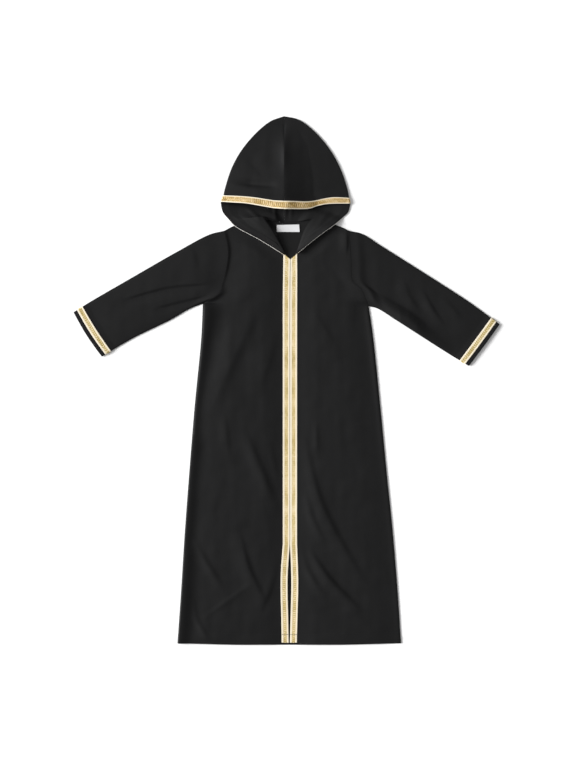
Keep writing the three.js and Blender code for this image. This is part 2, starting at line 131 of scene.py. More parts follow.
# The label's corners, from its lower left round, its thickness and its ripple.
label_corners = ((-27.6, 867.5), (20.2, 867.3), (19.0, 883.0), (-28.0, 882.0))
label_half = 0.35
label_ripple = 0.15
label_waves = (7, 2)
label_columns = 41
label_rows = 15

# The cloth's swell, and the distances over which it fades in from each edge.
swell = 2.8
most_relief = 7.0
side_fade = (2.0, 66.0)
centre_fade = (7.3, 60.0)
lapel_fade = (3.0, 30.0)
top_fade = 2.2

# A front's edges: how far they roll down at the side seam and at the armhole, the hem's doubled cloth, and
# how wide a puff beside the side seam is, at least and for its height.
edge_roll = (0.45, 0.1)
edge_roll_width = 3.2
edge_start = 3.0
hem_depth = 20.0
hem_height = 0.35
hem_ramp = 1.5
puff_start = 2.0
least_puff_width = 5.0
puff_spread = 2.1
lean_rows = 3

# A sleeve: its cuff's strip and braid, its ease against a front, and, in stations along it, where it opens
# from the seam and flattens to the cuff.
cuff_strip = 8.7
cuff_ramp = 12.0
cuff_rise = 0.25
strip_ramp = 0.4
sleeve_ease = 0.85
seam_opening = (0.1, 1.5)
seam_fade = 2.4
cuff_fade = (1.5, 1.0)
cuff_flatness = 0.3
lap_reach = 0.1
underarm_edge = ((0, 5, 7, 10), (12, 12, 3, 0))
underarm_width = 22.0

# How full a sleeve's swell, its cuff and its lap stay towards the folds: the power that each takes.
swell_power = 0.6
cuff_power = 0.3
lap_power = 0.4
cuff_bow_power = 6

# Rows and columns of the model's own grids, which the finer grids here follow.
half_row = 0.5
slit_rows = 7
body_rows = 15
side_rows = 22
closed_rows = 3
armhole_rows = 8
front_top_row = side_rows + armhole_rows
neck_row = 25
braid_columns = 2
front_columns = 14
sleeve_stations = 11
hood_columns = 9
hood_rows = 12
face_row = 14
neck_corner_row = 18
last_hood_row = 27

# Each panel's grid is this many times as fine as the model's.
body_fineness = 10
braid_fineness = 3
column_fineness = 6
sleeve_fineness = 10
hood_fineness = 6
lower_columns = 10

# A sleeve's stations at the armhole, the ramp, either edge of the braid and the cuff, and the pieces
# between them.
station_marks = (0, sleeve_stations, sleeve_stations + 1, sleeve_stations + 3, sleeve_stations + 4)
station_pieces = (sleeve_stations * sleeve_fineness, 6, 8, 4)

# The pieces of each line round the part of the hood that lies on a front, and of the back's lines.
lapel_pieces = {"face_turn": 6, "lapel_edge": 12, "neck_seam": 10}
back_shoulder_pieces = 24
back_neck_pieces = 24
back_side_pieces = 60
back_armhole_pieces = 48

# The angles of the points round a fold, from its top to its underside, and the column of its outermost one.
fold_angles = np.linspace(90, -90, 9)[1:-1]
fold_middle = 4

centre_seam_x = -12.0
hood_top = (-12.6, 1110)
nape = (-12.0, 887.0)
nape_bend = (0.55, 3)

sides = {
    "left": {
        "direction": 1,
        "lapel_lift": 8.0,
        "hood_ridge": ((900, 1120), (17.0, 17.0)),
        "armhole_lift": (
            (712, 722, 730, 745, 765, 820, 862, 882),
            (0, 3.4, 4.8, 5.0, 4.4, 3.6, 2.4, 0),
        ),
        "lift_spread": ((0, 1000), (34, 34)),
        "lift_reach": (15.0, 14.0),
        "side_puff": (
            (0, 60, 200, 330, 480, 600, 690, 730),
            (0.3, 0.4, 0.6, 0.5, 0.9, 1.5, 1.3, 0),
        ),
        "cuff_bow": 0.6,
        "lapel_roll": ((12.5, 14, 16, 18, 22, 26, 27), (0, 0.3, 0.4, 0.4, 0.4, 0.2, 0)),
        "underarm_puff": ((0, 1.2, 2.6, 4, 6, 8, 10.5), (0, 1.6, 5.0, 8.2, 8.4, 4, 0)),
        "open_edge": [(-0.3, 1), (0.7, 37), (1.9, 80), (2.8, 115), (2.6, 150), (0.4, 212)],
        "closed_edge": [(0.4, 212), (0.4, 460), (0.5, 712)],
        "upper_edge": [(0.5, 712), (1.2, 810)],
        "neck_edge": [(1.2, 810), (14.5, 828), (19, 840), (30, 872), (48.3, 899)],
        "hem": [(1.6, 1), (110, 0.5), (233, 4)],
        "side_seam": [
            (233, 4), (226.5, 103), (215.5, 238), (202, 371), (189, 506), (174.5, 645), (165, 712),
        ],
        "armhole": [(165, 712), (158, 728), (149, 747), (131, 765), (127.5, 808), (124, 869.5)],
        "shoulder": [(124, 869.5), (111, 876.5), (92.4, 883.5), (48.3, 899)],
        "sleeve_top": [(124, 869.5), (151, 863), (191, 838), (298, 770.5), (376, 720), (439.7, 673.3)],
        "sleeve_bottom": [(165, 712), (185, 706), (223, 682), (321, 619.5), (375.3, 586.3)],
        "hood_outline": [
            hood_top, (19, 1102.5), (52.5, 1077), (84, 1039.5), (105, 1001.7), (119, 962), (123.5, 941),
        ],
        "hood_corner": [(123.5, 941), (126.5, 925)],
        "braid_edge": [
            (-12, 930.2), (10, 930.2), (37, 930.2), (55, 932.7), (72, 936.8), (90, 939.6), (123.5, 941),
        ],
        "face_edge": [
            (-12, 913.4), (10, 913.6), (37, 914.8), (46, 916.8), (55, 920.4), (72, 924.5), (90, 926.3),
            (126.5, 925),
        ],
        "face_turn": [(126.5, 925), (122, 909), (111, 898)],
        "lapel_edge": [(111, 898), (95, 884), (56, 855), (15.2, 822.3)],
        "neck_seam": [(48.3, 899), (30, 872), (19, 840), (13.6, 824.2)],
    },
    "right": {
        "direction": -1,
        "lapel_lift": 2.8,
        "hood_ridge": ((925, 980, 1040, 1090), (2.5, 4.5, 9.0, 11.0)),
        "armhole_lift": (
            (717, 727, 738, 750, 765, 784, 800, 830, 862, 880),
            (0, 5, 4, 1.4, 0.9, 2.0, 2.4, 2.6, 2.0, 0),
        ),
        "lift_spread": ((738, 755), (14, 4.5)),
        "lift_reach": (0.0, 22.0),
        "side_puff": (
            (0, 70, 190, 216, 300, 350, 420, 455, 500, 560, 640, 690, 715, 722),
            (6.5, 7.5, 7.0, 4.0, 5.2, 4.2, 5.4, 2.6, 2.2, 3.8, 5.2, 9.5, 9.5, 0),
        ),
        "cuff_bow": 2.7,
        "lapel_roll": ((12.5, 14, 16, 18, 22, 26, 27), (0, 3, 7, 9.5, 8.5, 3, 0)),
        "underarm_puff": ((0, 1), (0, 0)),
        "open_edge": [(-2.8, 1), (-3.7, 60), (-4.8, 100), (-5.0, 130), (-4.4, 155), (-0.4, 212)],
        "closed_edge": [(-0.4, 212), (-0.4, 460), (-0.4, 712)],
        "upper_edge": [(-0.4, 712), (0.2, 810)],
        "neck_edge": [(0.2, 810), (-6.3, 819), (-16, 838), (-33, 878), (-46.2, 899)],
        "hem": [(-1.9, 1), (-115, 0.5), (-236, 4)],
        "side_seam": [
            (-236, 4), (-229, 103), (-220.5, 238), (-210.5, 371), (-199.5, 506), (-186, 645), (-182.7, 717),
        ],
        "armhole": [
            (-182.7, 717), (-166, 727), (-151, 738), (-143, 757), (-134, 792), (-130.5, 829), (-138.6, 869.5),
        ],
        "shoulder": [(-138.6, 869.5), (-117.6, 880.5), (-90, 889.5), (-46.2, 899)],
        "sleeve_top": [
            (-138.6, 869.5), (-168, 862), (-237, 825.5), (-332, 771), (-420, 720), (-454, 698.5),
        ],
        "sleeve_bottom": [(-182.7, 717), (-210, 706.5), (-252, 682.5), (-330, 644.5), (-395, 606)],
        "hood_outline": [
            hood_top, (-40, 1100), (-69, 1077), (-101, 1039.5), (-122, 1001.7), (-136, 959), (-139.5, 943),
        ],
        "hood_corner": [(-139.5, 943), (-145.5, 927)],
        "braid_edge": [
            (-12, 930.2), (-33, 931.4), (-50, 934), (-76, 938.2), (-104, 941), (-139.5, 943),
        ],
        "face_edge": [(-12, 913.4), (-33, 915.2), (-50, 918), (-76, 922.8), (-103, 926), (-145.5, 927)],
        "face_turn": [(-145.5, 927), (-141, 909), (-128, 893)],
        "lapel_edge": [(-128, 893), (-115.5, 880), (-62, 850), (-11.4, 819.0)],
        "neck_seam": [(-46.2, 899), (-33, 878), (-16, 838), (-9.0, 820.6)],
    },
}

# Each fold is a row: three points along it, its half width, its height, and how far it is drawn out to the
# left of the way along or, below nothing, to the right. These are the folds of the fronts and sleeves.
body_folds = [
    ((-66, 716), (-112, 622), (-180, 470), 17, 2.5, -0.6),
    ((-25, 664), (-42, 612), (-66, 536), 13, 1.6, -0.6),
    ((-98, 452), (-64, 372), (-14, 258), 9.5, 2.6, -0.3),
    ((-42, 424), (-34, 388), (-20, 336), 6, 1.5, -0.3),
    ((-108, 236), (-88, 162), (-54, 90), 8.5, 2.9, -0.7),
    ((-22, 196), (-38, 130), (-64, 70), 6.5, 2.2, -0.4),
    ((-80, 130), (-128, 96), (-186, 54), 4.5, 0.9, 0.2),
    ((-216, 250), (-192, 200), (-140, 116), 7, 2.1, -0.3),
    ((-204, 98), (-196, 54), (-170, 10), 5, 1.6, -0.2),
    ((-138, 486), (-134, 440), (-128, 386), 7, 1.2, -0.3),
    ((-158, 728), (-166, 664), (-186, 560), 11, -2, 0.9),
    ((22, 452), (66, 292), (160, 120), 10, 3, -0.6),
    ((26, 336), (44, 270), (72, 212), 7, 1.7, -0.3),
    ((36, 204), (82, 138), (152, 66), 7.5, 3.2, -0.5),
    ((16, 222), (36, 156), (70, 104), 7.5, 2.6, -0.3),
    ((48, 702), (70, 664), (94, 624), 10, 1.1, -0.6),
    ((134, 764), (133, 712), (128, 650), 8, 1, -0.5),
    ((54, 470), (55, 434), (56, 400), 6, 1.1, -0.2),
    ((196, 168), (212, 128), (232, 84), 7, 1.5, -0.3),
    ((-152, 757), (-256, 747), (-352, 722), 4.2, -4.7, 0.9),
    ((-146, 738), (-210, 722), (-286, 704), 4, -4, 0.9),
    ((-210, 846), (-197, 826), (-188, 796), 9, -1.6, 0.8),
    ((160, 752), (246, 708), (345, 622), 15, -2.2, 0.9),
    ((236, 766), (250, 728), (278, 690), 8, 1.7, -0.6),
    ((276, 746), (296, 708), (322, 670), 6, 2.1, -0.6),
    ((322, 726), (340, 706), (362, 682), 6, 1.2, -0.5),
]

# Folds beside the armhole seams.
seam_folds = [
    ((117, 874), (118, 850), (117, 822), 5, 1.8, -0.8),
]

# Fainter creases.
fine_folds = [
    ((-118, 862), (-112, 838), (-110, 808), 7, 0.5, -0.5),
    ((-60, 786), (-88, 742), (-124, 706), 13, 0.6, -0.5),
    ((80, 806), (108, 770), (134, 732), 11, -0.6, 0.6),
    ((-60, 262), (-64, 210), (-72, 164), 9, 0.4, -0.5),
    ((146, 66), (168, 44), (190, 30), 7, -0.4, 0.5),
    ((90, 516), (100, 470), (106, 416), 11, 0.5, -0.5),
    ((-118, 372), (-140, 320), (-154, 268), 11, -0.5, 0.5),
    ((-326, 746), (-356, 722), (-380, 692), 8, -0.5, 0.6),
    ((-68, 342), (-58, 290), (-50, 238), 10, 0.4, -0.5),
    ((118, 432), (138, 380), (154, 318), 13, -0.5, 0.6),
    ((-148, 412), (-162, 350), (-172, 278), 13, -0.5, 0.6),
]

# Folds of the hood's upper layer, and of its inside where that shows.
hood_folds = [
    ((-128, 974), (-78, 966), (-30, 963), 6.5, -5.0, 0.5),
    ((-96, 1030), (-74, 1004), (-56, 986), 9, -0.8, 0.5),
    ((98, 1012), (90, 974), (82, 940), 10, -0.6, 0.5),
]
inside_folds = [
    ((-33, 940), (-32, 915), (-29, 890), 4, 1.8, 0.0),
    ((-9, 940), (-9, 912), (-10, 892), 4, 1.4, 0.0),
    ((4, 940), (3, 915), (2, 892), 4, 1.2, 0.0),
    ((-96, 920), (-73, 903), (-60, 886), 5, 1.4, 0.0),
    ((-84, 896), (-60, 876), (-36, 858), 5, 0.8, 0.0),
    ((84, 915), (70, 897), (58, 880), 6, 0.9, 0.0),
    ((66, 886), (48, 868), (34, 850), 5, 0.6, 0.0),
]

# The shape of each fold: how near a line's points count, its power along the line, and how far its slow
# side is drawn out and its other side drawn in.
fold_pieces = 48
fold_nearness = 0.8
fold_power = 0.8
drawn_out = 1.7
drawn_in = 0.35

# The hood's rise at its middle and at its sides, and the width to which the wearer's left falls from the
# centre seam at each height. A crest beside the seam is higher at the top, and rounded over the ridge's
# bridge.
hood_rise = 22.3
hood_side_rise = 5.3
side_fall = 0.6
hood_valley = ((925.0, 976.0, 1046.0, 1081.0), (61.0, 61.0, 50.0, 29.0))
even_fall = 0.8
hood_seam_fall = 14.0
hood_crest = 5.0
crest_fall = 12.0
crest_rows = 5
crest_heights = (970, 1030)
ridge_bridge = 9.0
least_bridge = 0.5
bridge_rows = (0.8, 0.2)
seam_dip_depth = 0.35
seam_dip_width = 2.2
seam_top_drop = 12.0
nape_rise = 20.0
fold_fade = 2.5
peak_rows = 3
bend_power = 3

# The hood's lower layer: where it climbs onto the fronts, the share of it that the turned braid may take,
# the room beyond that braid, the share across at which a lapel rolls highest, and where its seam laps the
# neck.
climb = (8, 24)
braid_share = 0.62
beyond_braid = (4, 12)
braid_foot_share = 6
roll_place = 0.85
most_roll_share = 0.3
roll_start = 0.05
neck_lap_ramp = (7, 1)
corner_rows = 3
neck_start = (0.5, 0.3)
neck_end = 0.6

# Where the folds inside the hood show: between two shares across it, deeper in towards the nape, from some
# rows before the face, and less on the lapel.
shown = (0.2, 0.9)
deep_rows = (6, 3)
deep_share = (0.3, 0.5)
lapel_rows = (3, 4)
lapel_calm = 0.8

# The cloth's unevenness: how many waves, between which lengths, and how high each is.
wave_seed = 7
wave_count = 26
wave_lengths = (22.0, 80.0)
wave_height = 0.045

# How fast the waves of the braid's threads turn for each width of braid, and those of the label's ribs for
# each metre.
thread_turn = 150.0
rib_turn = 9000.0

# The stage, in metres.
floor_half = 3.0
camera_shift = (0.0029, -0.0067)


def eased(value, low, high):
    """Smooth step: 3t² - 2t³, where t is the share of the way from low to high, kept within 0 and 1."""
    t = np.clip((value - low) / (high - low), 0, 1)
    return t * t * (3 - 2 * t)


def bell(distance, width):
    """A bell curve: e to the power of less the square of the distance over the width."""
    return np.exp(-((distance / width) ** 2))


def mixed(a, b, share):
    """The point at a share of the way from a to b."""
    return a + (b - a) * share


def unit(vectors):
    """Vectors divided by their lengths."""
    return vectors / np.maximum(np.linalg.norm(vectors, axis=-1, keepdims=True), 1e-12)


def curve(points, pieces=40):
    """A smooth line through points: each span is a cubic between two of them whose slopes come from the
    four nearest, with knots set apart by the square root of the distance."""
    points = np.asarray(points, float)
    ends = np.vstack([2 * points[0] - points[1], points, 2 * points[-1] - points[-2]])
    knots = np.sqrt(np.linalg.norm(np.diff(ends, axis=0), axis=1))[:, None]
    p0, p1, p2, p3 = ends[:-3], ends[1:-2], ends[2:-1], ends[3:]
    d0, d1, d2 = knots[:-2], knots[1:-1], knots[2:]
    start = d1 * ((p1 - p0) / d0 - (p2 - p0) / (d0 + d1) + (p2 - p1) / d1)
    end = d1 * ((p2 - p1) / d1 - (p3 - p1) / (d1 + d2) + (p3 - p2) / d2)
    t = np.linspace(0, 1, pieces, endpoint=False)[None, :, None]
    p1, p2, start, end = (values[:, None, :] for values in (p1, p2, start, end))
    spans = (
        (2 * t**3 - 3 * t**2 + 1) * p1
        + (t**3 - 2 * t**2 + t) * start
        + (3 * t**2 - 2 * t**3) * p2
        + (t**3 - t**2) * end
    )
    return np.vstack([spans.reshape(-1, points.shape[1]), points[-1:]])


def summed(steps):
    """Running totals of steps, from nothing."""
    return np.concatenate([[0], np.cumsum(steps)])


def along(line):
    """The distance from a line's start to each of its points."""
    return summed(np.linalg.norm(np.diff(line, axis=0), axis=1))


def between(places, marks, values):
    """Rows of values at places between their marks, mixed evenly from the two nearest."""
    return np.stack([np.interp(places, marks, column) for column in values.T], axis=-1)


def at_shares(line, shares):
    """Points of a line of short pieces, at shares of its whole length."""
    lengths = along(line)
    return between(np.asarray(shares) * lengths[-1], lengths, line)


def divided(points, pieces):
    """The curve through points, cut into equal lengths."""
    return at_shares(curve(points), np.linspace(0, 1, pieces + 1))


def joined(*runs):
    """Runs of points joined end to end, with each shared point kept once."""
    return np.concatenate([run if index == 0 else run[1:] for index, run in enumerate(runs)])


def relief(folds, x, y):
    """The height that folds give. With d the distance to the left of the way along, as a share of the half
    width, each adds its height times a power of the sine of the share along it, times a bell curve of d
    that is drawn out to the slow side and drawn in on the other."""
    total = np.zeros_like(x)
    for start, through, end, width, height, slow in folds:
        chain = divided([start, through, end], fold_pieces)
        ahead = unit(np.gradient(chain, axis=0))
        dx, dy = x[..., None] - chain[:, 0], y[..., None] - chain[:, 1]
        far = dx**2 + dy**2
        nearest = far.min(axis=-1, keepdims=True)
        weight = np.exp(-(far - nearest) / (fold_nearness * width) ** 2)
        place = (weight * np.linspace(0, 1, len(chain))).sum(axis=-1) / weight.sum(axis=-1)
        d = (weight * (ahead[:, 0] * dy - ahead[:, 1] * dx)).sum(axis=-1) / weight.sum(axis=-1) / width
        over = np.maximum(nearest[..., 0] - (d * width) ** 2, 0) / width**2
        spread = np.where(d * slow > 0, 1 + drawn_out * abs(slow), 1 - drawn_in * abs(slow))
        total += height * np.sin(np.pi * place) ** fold_power * np.exp(-((d / spread) ** 2) - over)
    return total


def waves(x, y):
    """The cloth's unevenness: a sum of low sine waves in fixed random directions and lengths."""
    draw = np.random.default_rng(wave_seed)
    angle = draw.uniform(0, 2 * np.pi, wave_count)
    length = draw.uniform(*wave_lengths, wave_count)
    phase = draw.uniform(0, 2 * np.pi, wave_count)
    total = np.zeros_like(x)
    for a, l, p in zip(angle, length, phase):
        total += wave_height * np.sin(2 * np.pi * (x * np.cos(a) + y * np.sin(a)) / l + p)
    return total


def cloth_rise(x, y, fade, folds, finer):
    """The height of an upper layer above its flat lie: an even swell with folds and waves, kept above
    nothing by half of (h + root of h² + s²), and faded towards its edges."""
    height = swell + relief(folds, x, y) + relief(finer, x, y) + waves(x, y)
    soft = 0.5
    kept = 0.5 * (height + np.sqrt(height**2 + soft**2))
    return fade * np.minimum(kept, most_relief)


def distance_outside(x, y, outline):
    """How far points lie outside a closed outline, or 0 inside it: the least distance to its sides, with
    inside found by counting the sides that a level line crosses."""
    inside = np.zeros(x.shape, bool)
    nearest = np.full(x.shape, np.inf)
    for (ax, ay), (bx, by) in zip(outline, np.roll(outline, -1, axis=0)):
        if ay != by:
            inside ^= ((ay > y) != (by > y)) & (x < (bx - ax) * (y - ay) / (by - ay) + ax)
        run = (bx - ax) ** 2 + (by - ay) ** 2
        share = np.clip(((x - ax) * (bx - ax) + (y - ay) * (by - ay)) / max(run, 1e-9), 0, 1)
        nearest = np.minimum(nearest, np.hypot(ax + (bx - ax) * share - x, ay + (by - ay) * share - y))
    return np.where(inside, 0, nearest)


class Layer:
    """A layer of cloth or braid: a grid of middle points, which of its cells are cloth, how its weave lies
    on it and which way its face looks."""

    def __init__(self, points, weave, cells=None, tube=False, facing=1):
        self.points = points
        self.weave = weave
        self.tube = tube
        self.facing = facing
        columns = points.shape[0] if tube else points.shape[0] - 1
        self.cells = np.ones((columns, points.shape[1] - 1), bool) if cells is None else cells

    def corners(self, values):
        """The values at the four corners of each cell, in order round it."""
        if self.tube and len(values) == len(self.points):
            values = np.concatenate([values, values[:1]])
        return np.stack([values[:-1, :-1], values[1:, :-1], values[1:, 1:], values[:-1, 1:]], axis=2)

    def cell_normals(self):
        """The cross product of each cell's diagonals."""
        a, b, c, d = np.moveaxis(self.corners(self.points), 2, 0)
        return self.facing * np.cross(c - a, d - b)

    def directions(self):
        """The direction of the face at each point: the mean of the unit normals of the cells round it."""
        normals = unit(self.cell_normals()) * self.cells[..., None]
        columns, rows = self.points.shape[:2]
        total = np.zeros((columns + self.tube, rows, 3))
        total[:-1, :-1] += normals
        total[1:, :-1] += normals
        total[1:, 1:] += normals
        total[:-1, 1:] += normals
        if self.tube:
            total[0] += total[-1]
            total = total[:-1]
        return unit(total)

    def moved(self, distance):
        """The points moved along their directions by a distance."""
        return self.points + self.directions() * np.broadcast_to(distance, self.points.shape[:2])[..., None]

    def area(self):
        """The cloth's area in square metres: half the length of the cross product of each cell's
        diagonals."""
        return float(0.5 * np.linalg.norm(self.cell_normals(), axis=-1)[self.cells].sum() * MM**2)


def placed(name, data):
    """A new object in the scene."""
    made = bpy.data.objects.new(name, data)
    bpy.context.scene.collection.objects.link(made)
    return made


def new_piece(name, points, faces, weave, material, sharp=50):
    """Makes an object of four-cornered faces, with its weave as a UV map, in the frame's metres."""
    used, faces = np.unique(faces, return_inverse=True)
    faces = faces.reshape(-1, 4)
    points = (points[used] + drawing_origin) * MM
    mesh = bpy.data.meshes.new(name)
    mesh.vertices.add(len(points))
    mesh.vertices.foreach_set("co", points.ravel())
    mesh.loops.add(faces.size)
    mesh.loops.foreach_set("vertex_index", faces.ravel())
    mesh.polygons.add(len(faces))
    mesh.polygons.foreach_set("loop_start", np.arange(0, faces.size, 4))
    mesh.polygons.foreach_set("use_smooth", np.ones(len(faces), bool))
    mesh.update(calc_edges=True)
    layer = mesh.uv_layers.new(name="weave")
    layer.data.foreach_set("uv", weave.ravel())
    mesh.set_sharp_from_angle(angle=math.radians(sharp))
    mesh.materials.append(material)
    piece = placed(name, mesh)
    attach(piece, "root")
    return piece


def wall(name, layer, inner, outer, material):
    """A closed wall of cloth: the layer's points moved along its directions to an inner and an outer
    distance, both faces of each cell, and a rim wherever the next cell has no cloth."""
    count = layer.points.shape[0] * layer.points.shape[1]
    corners = layer.corners(np.arange(count).reshape(layer.points.shape[:2]))
    weave = layer.corners(layer.weave)
    cells = layer.cells
    faces = [corners[cells], corners[cells][:, ::-1] + count]
    uvs = [weave[cells], weave[cells][:, ::-1]]
    if layer.tube:
        padded = np.pad(np.concatenate([cells[-1:], cells, cells[:1]]), ((0, 0), (1, 1)))
    else:
        padded = np.pad(cells, 1)
    beside = [padded[1:-1, :-2], padded[2:, 1:-1], padded[1:-1, 2:], padded[:-2, 1:-1]]
    for edge, neighbours in enumerate(beside):
        bare = cells & ~neighbours
        far = (edge + 1) % 4
        near_point, far_point = corners[bare][:, edge], corners[bare][:, far]
        faces.append(np.stack([far_point, near_point, near_point + count, far_point + count], axis=1))
        uvs.append(weave[bare][:, [far, edge, edge, far]])
    faces, uvs = np.concatenate(faces), np.concatenate(uvs)
    if layer.facing < 0:
        faces, uvs = faces[:, ::-1], uvs[:, ::-1]
    points = np.concatenate([layer.moved(outer).reshape(-1, 3), layer.moved(inner).reshape(-1, 3)])
    return new_piece(name, points, faces, uvs, material)


def sampled(points, columns, rows):
    """A grid's points at fractional columns and rows, mixed evenly between the four nearest."""
    i = np.clip(np.floor(columns).astype(int), 0, points.shape[0] - 2)
    j = np.clip(np.floor(rows).astype(int), 0, points.shape[1] - 2)
    across = (columns - i)[..., None]
    up = (rows - j)[..., None]
    low = mixed(points[i, j], points[i + 1, j], across)
    high = mixed(points[i, j + 1], points[i + 1, j + 1], across)
    return mixed(low, high, up)


def weave_of(points):
    """A panel's weave in metres: x is the mean distance across it and y the mean distance up it, so that
    the threads run with the panel."""
    across = np.linalg.norm(np.diff(points[..., :2], axis=0), axis=-1).mean(axis=1)
    up = np.linalg.norm(np.diff(points[..., :2], axis=1), axis=-1).mean(axis=0)
    return np.stack(np.meshgrid(summed(across) * MM, summed(up) * MM, indexing="ij"), axis=-1)


def front_edges(side, fineness=body_fineness):
    """The inner edge of a front (slit, centre front, neck) and its outer edge (side seam, armhole)."""
    inner = joined(
        divided(side["open_edge"], slit_rows * fineness),
        divided(side["closed_edge"], body_rows * fineness),
        divided(side["upper_edge"], closed_rows * fineness),
        divided(side["neck_edge"], (armhole_rows - closed_rows) * fineness),
    )
    outer = joined(
        divided(side["side_seam"], side_rows * fineness),
        divided(side["armhole"], armhole_rows * fineness),
    )
    return inner, outer


def lapel_outline(side):
    """The closed outline of the part of the hood that lies on a front."""
    turn, edge, neck = (divided(side[line], pieces) for line, pieces in lapel_pieces.items())
    return joined(turn, edge, neck[::-1])


def front_layer(side):
    """A front panel: rows from its inner to its outer edge, at one height with an even swell, folds and
    waves. It rolls down to the side seam, is puffed beside it, lifts to the armhole and is doubled at the
    hem. The rows lean up near the neck, so that the braid ends on a slant."""
    inner, outer = front_edges(side)
    rows = np.arange(len(inner)) / body_fineness
    columns = joined(
        np.linspace(0, braid_columns, braid_columns * braid_fineness + 1),
        np.linspace(braid_columns, front_columns, (front_columns - braid_columns) * column_fineness + 1),
    )[:, None]
    width = np.linalg.norm(outer - inner, axis=1)[None, :]
    beyond = np.clip((columns - braid_columns) / (front_columns - braid_columns), 0, 1)
    on_braid = columns <= braid_columns
    reach = np.where(on_braid, braid_width * columns / braid_columns, mixed(braid_width, width, beyond))
    share = reach / width
    flat = mixed(inner[None], outer[None], share[..., None])
    lean = np.maximum(0, 1 - np.abs(rows - neck_row) / lean_rows)[None, :]
    flat[..., 1] += braid_cut * lean * np.where(on_braid, columns / braid_columns, 1 - beyond)
    flat[:, 0, 1] = mixed(inner[0, 1], outer[0, 1], share[:, 0] ** 2)
    x, y = flat[..., 0], flat[..., 1]
    from_side = width - reach
    off_lapel = eased(distance_outside(x, y, lapel_outline(side)), *lapel_fade)
    off_top = eased(front_top_row - rows, 0, top_fade)[None, :]
    fade = eased(from_side, *side_fade) * eased(reach, *centre_fade) * off_lapel * off_top
    at_armhole = eased(rows, side_rows - half_row, side_rows + half_row)[None, :]
    off_edge = eased(from_side, 0, edge_start)
    rolled = mixed(*edge_roll, at_armhole) * bell(from_side, edge_roll_width)
    doubled = 1 - eased(y, hem_depth - hem_ramp, hem_depth + hem_ramp)
    hem = hem_height * doubled * eased(reach, braid_width, braid_width + edge_start)
    puff_height = np.interp(y, *side["side_puff"])
    from_peak = np.maximum(from_side - puff_start, 0)
    round_peak = bell(from_peak, least_puff_width + puff_spread * puff_height)
    puff = puff_height * (1 - at_armhole) * round_peak * off_edge
    spread = np.interp(y, *side["lift_spread"])
    lifted = np.interp(y, *side["armhole_lift"]) * bell(from_side, spread) * at_armhole
    seams = relief(seam_folds, x, y) * off_edge * off_lapel
    rise = cloth_rise(x, y, fade, body_folds, fine_folds)
    z = front_height + rise - rolled + hem + puff + seams + lifted
    return Layer(np.dstack([x, y, z]), weave_of(np.dstack([x, y])), facing=side["direction"])


def back_neck_seam(side, pieces, drop=0.0):
    """The seam between the hood and the back, from the nape to the shoulder's inner end."""
    corner = np.array(side["neck_seam"][0], float)
    through = (mixed(nape[0], corner[0], nape_bend[0]), nape[1] + nape_bend[1])
    return divided([nape, through, corner], pieces) - np.array([0, drop])


def back_layer():
    """The back panel, flat on the surface: a patch between its four outlines, which is the sum of the
    straight mixes of its opposite sides less the mix of its corners."""
    left, right = sides["left"], sides["right"]
    half = back_shoulder_pieces + back_neck_pieces
    bottom = joined(divided(right["hem"], half)[::-1], divided(left["hem"], half))
    top = joined(
        divided(right["shoulder"], back_shoulder_pieces),
        back_neck_seam(right, back_neck_pieces, stitch_gap)[::-1],
        back_neck_seam(left, back_neck_pieces, stitch_gap),
        divided(left["shoulder"], back_shoulder_pieces)[::-1],
    )
    near, far = (
        joined(divided(side["side_seam"], back_side_pieces), divided(side["armhole"], back_armhole_pieces))
        for side in (right, left)
    )
    across = np.linspace(0, 1, len(top))[:, None, None]
    up = np.linspace(0, 1, len(near))[None, :, None]
    lengthwise = mixed(bottom[:, None], top[:, None], up)
    crosswise = mixed(near[None], far[None], across)
    corners = mixed(mixed(bottom[0], bottom[-1], across), mixed(top[0], top[-1], across), up)
    flat = lengthwise + crosswise - corners
    z = np.full(flat.shape[:2], back_height)
    return Layer(np.dstack([flat, z]), weave_of(flat))


def cuff_shares(stations, length):
    """Shares of a sleeve edge's length at the model's own stations: even along the arm, then the same
    distances from the cuff on either edge."""
    strip_and_braid = cuff_strip + cuff_braid_width
    before_cuff = np.array([length, strip_and_braid + cuff_ramp, strip_and_braid, cuff_strip, 0])
    return 1 - np.interp(stations, station_marks, before_cuff) / length


def sleeve_lines(side):
    """A sleeve in plan: a line of points across it at each station, bowed like the armhole where it begins
    there and set off from it by the stitched gap."""
    armhole = divided(side["armhole"], armhole_rows * column_fineness)[::-1]
    top, bottom = curve(side["sleeve_top"]), curve(side["sleeve_bottom"])
    spans = zip(station_marks, station_marks[1:], station_pieces)
    stations = joined(*(np.linspace(first, last, pieces + 1) for first, last, pieces in spans))
    high_shares, low_shares = (cuff_shares(stations, along(edge)[-1]) for edge in (top, bottom))
    across = np.linspace(0, 1, len(armhole))[None, :, None]
    high, low = at_shares(top, high_shares)[:, None], at_shares(bottom, low_shares)[:, None]
    bow = armhole[None] - mixed(armhole[:1], armhole[-1:], across)
    tangent = unit(np.gradient(armhole, axis=0))
    away = np.stack([-tangent[:, 1], tangent[:, 0]], axis=-1)[None] * side["direction"]
    left_over = (1 - high_shares)[:, None, None]
    out = np.array(side["sleeve_bottom"][-1]) - side["sleeve_bottom"][-2]
    near_cuff = high_shares[:, None, None] ** cuff_bow_power
    cuff_bow = side["cuff_bow"] * unit(out) * np.sin(np.pi * across) * near_cuff
    return stations, mixed(high, low, across) + bow * left_over**2 + away * stitch_gap * left_over + cuff_bow


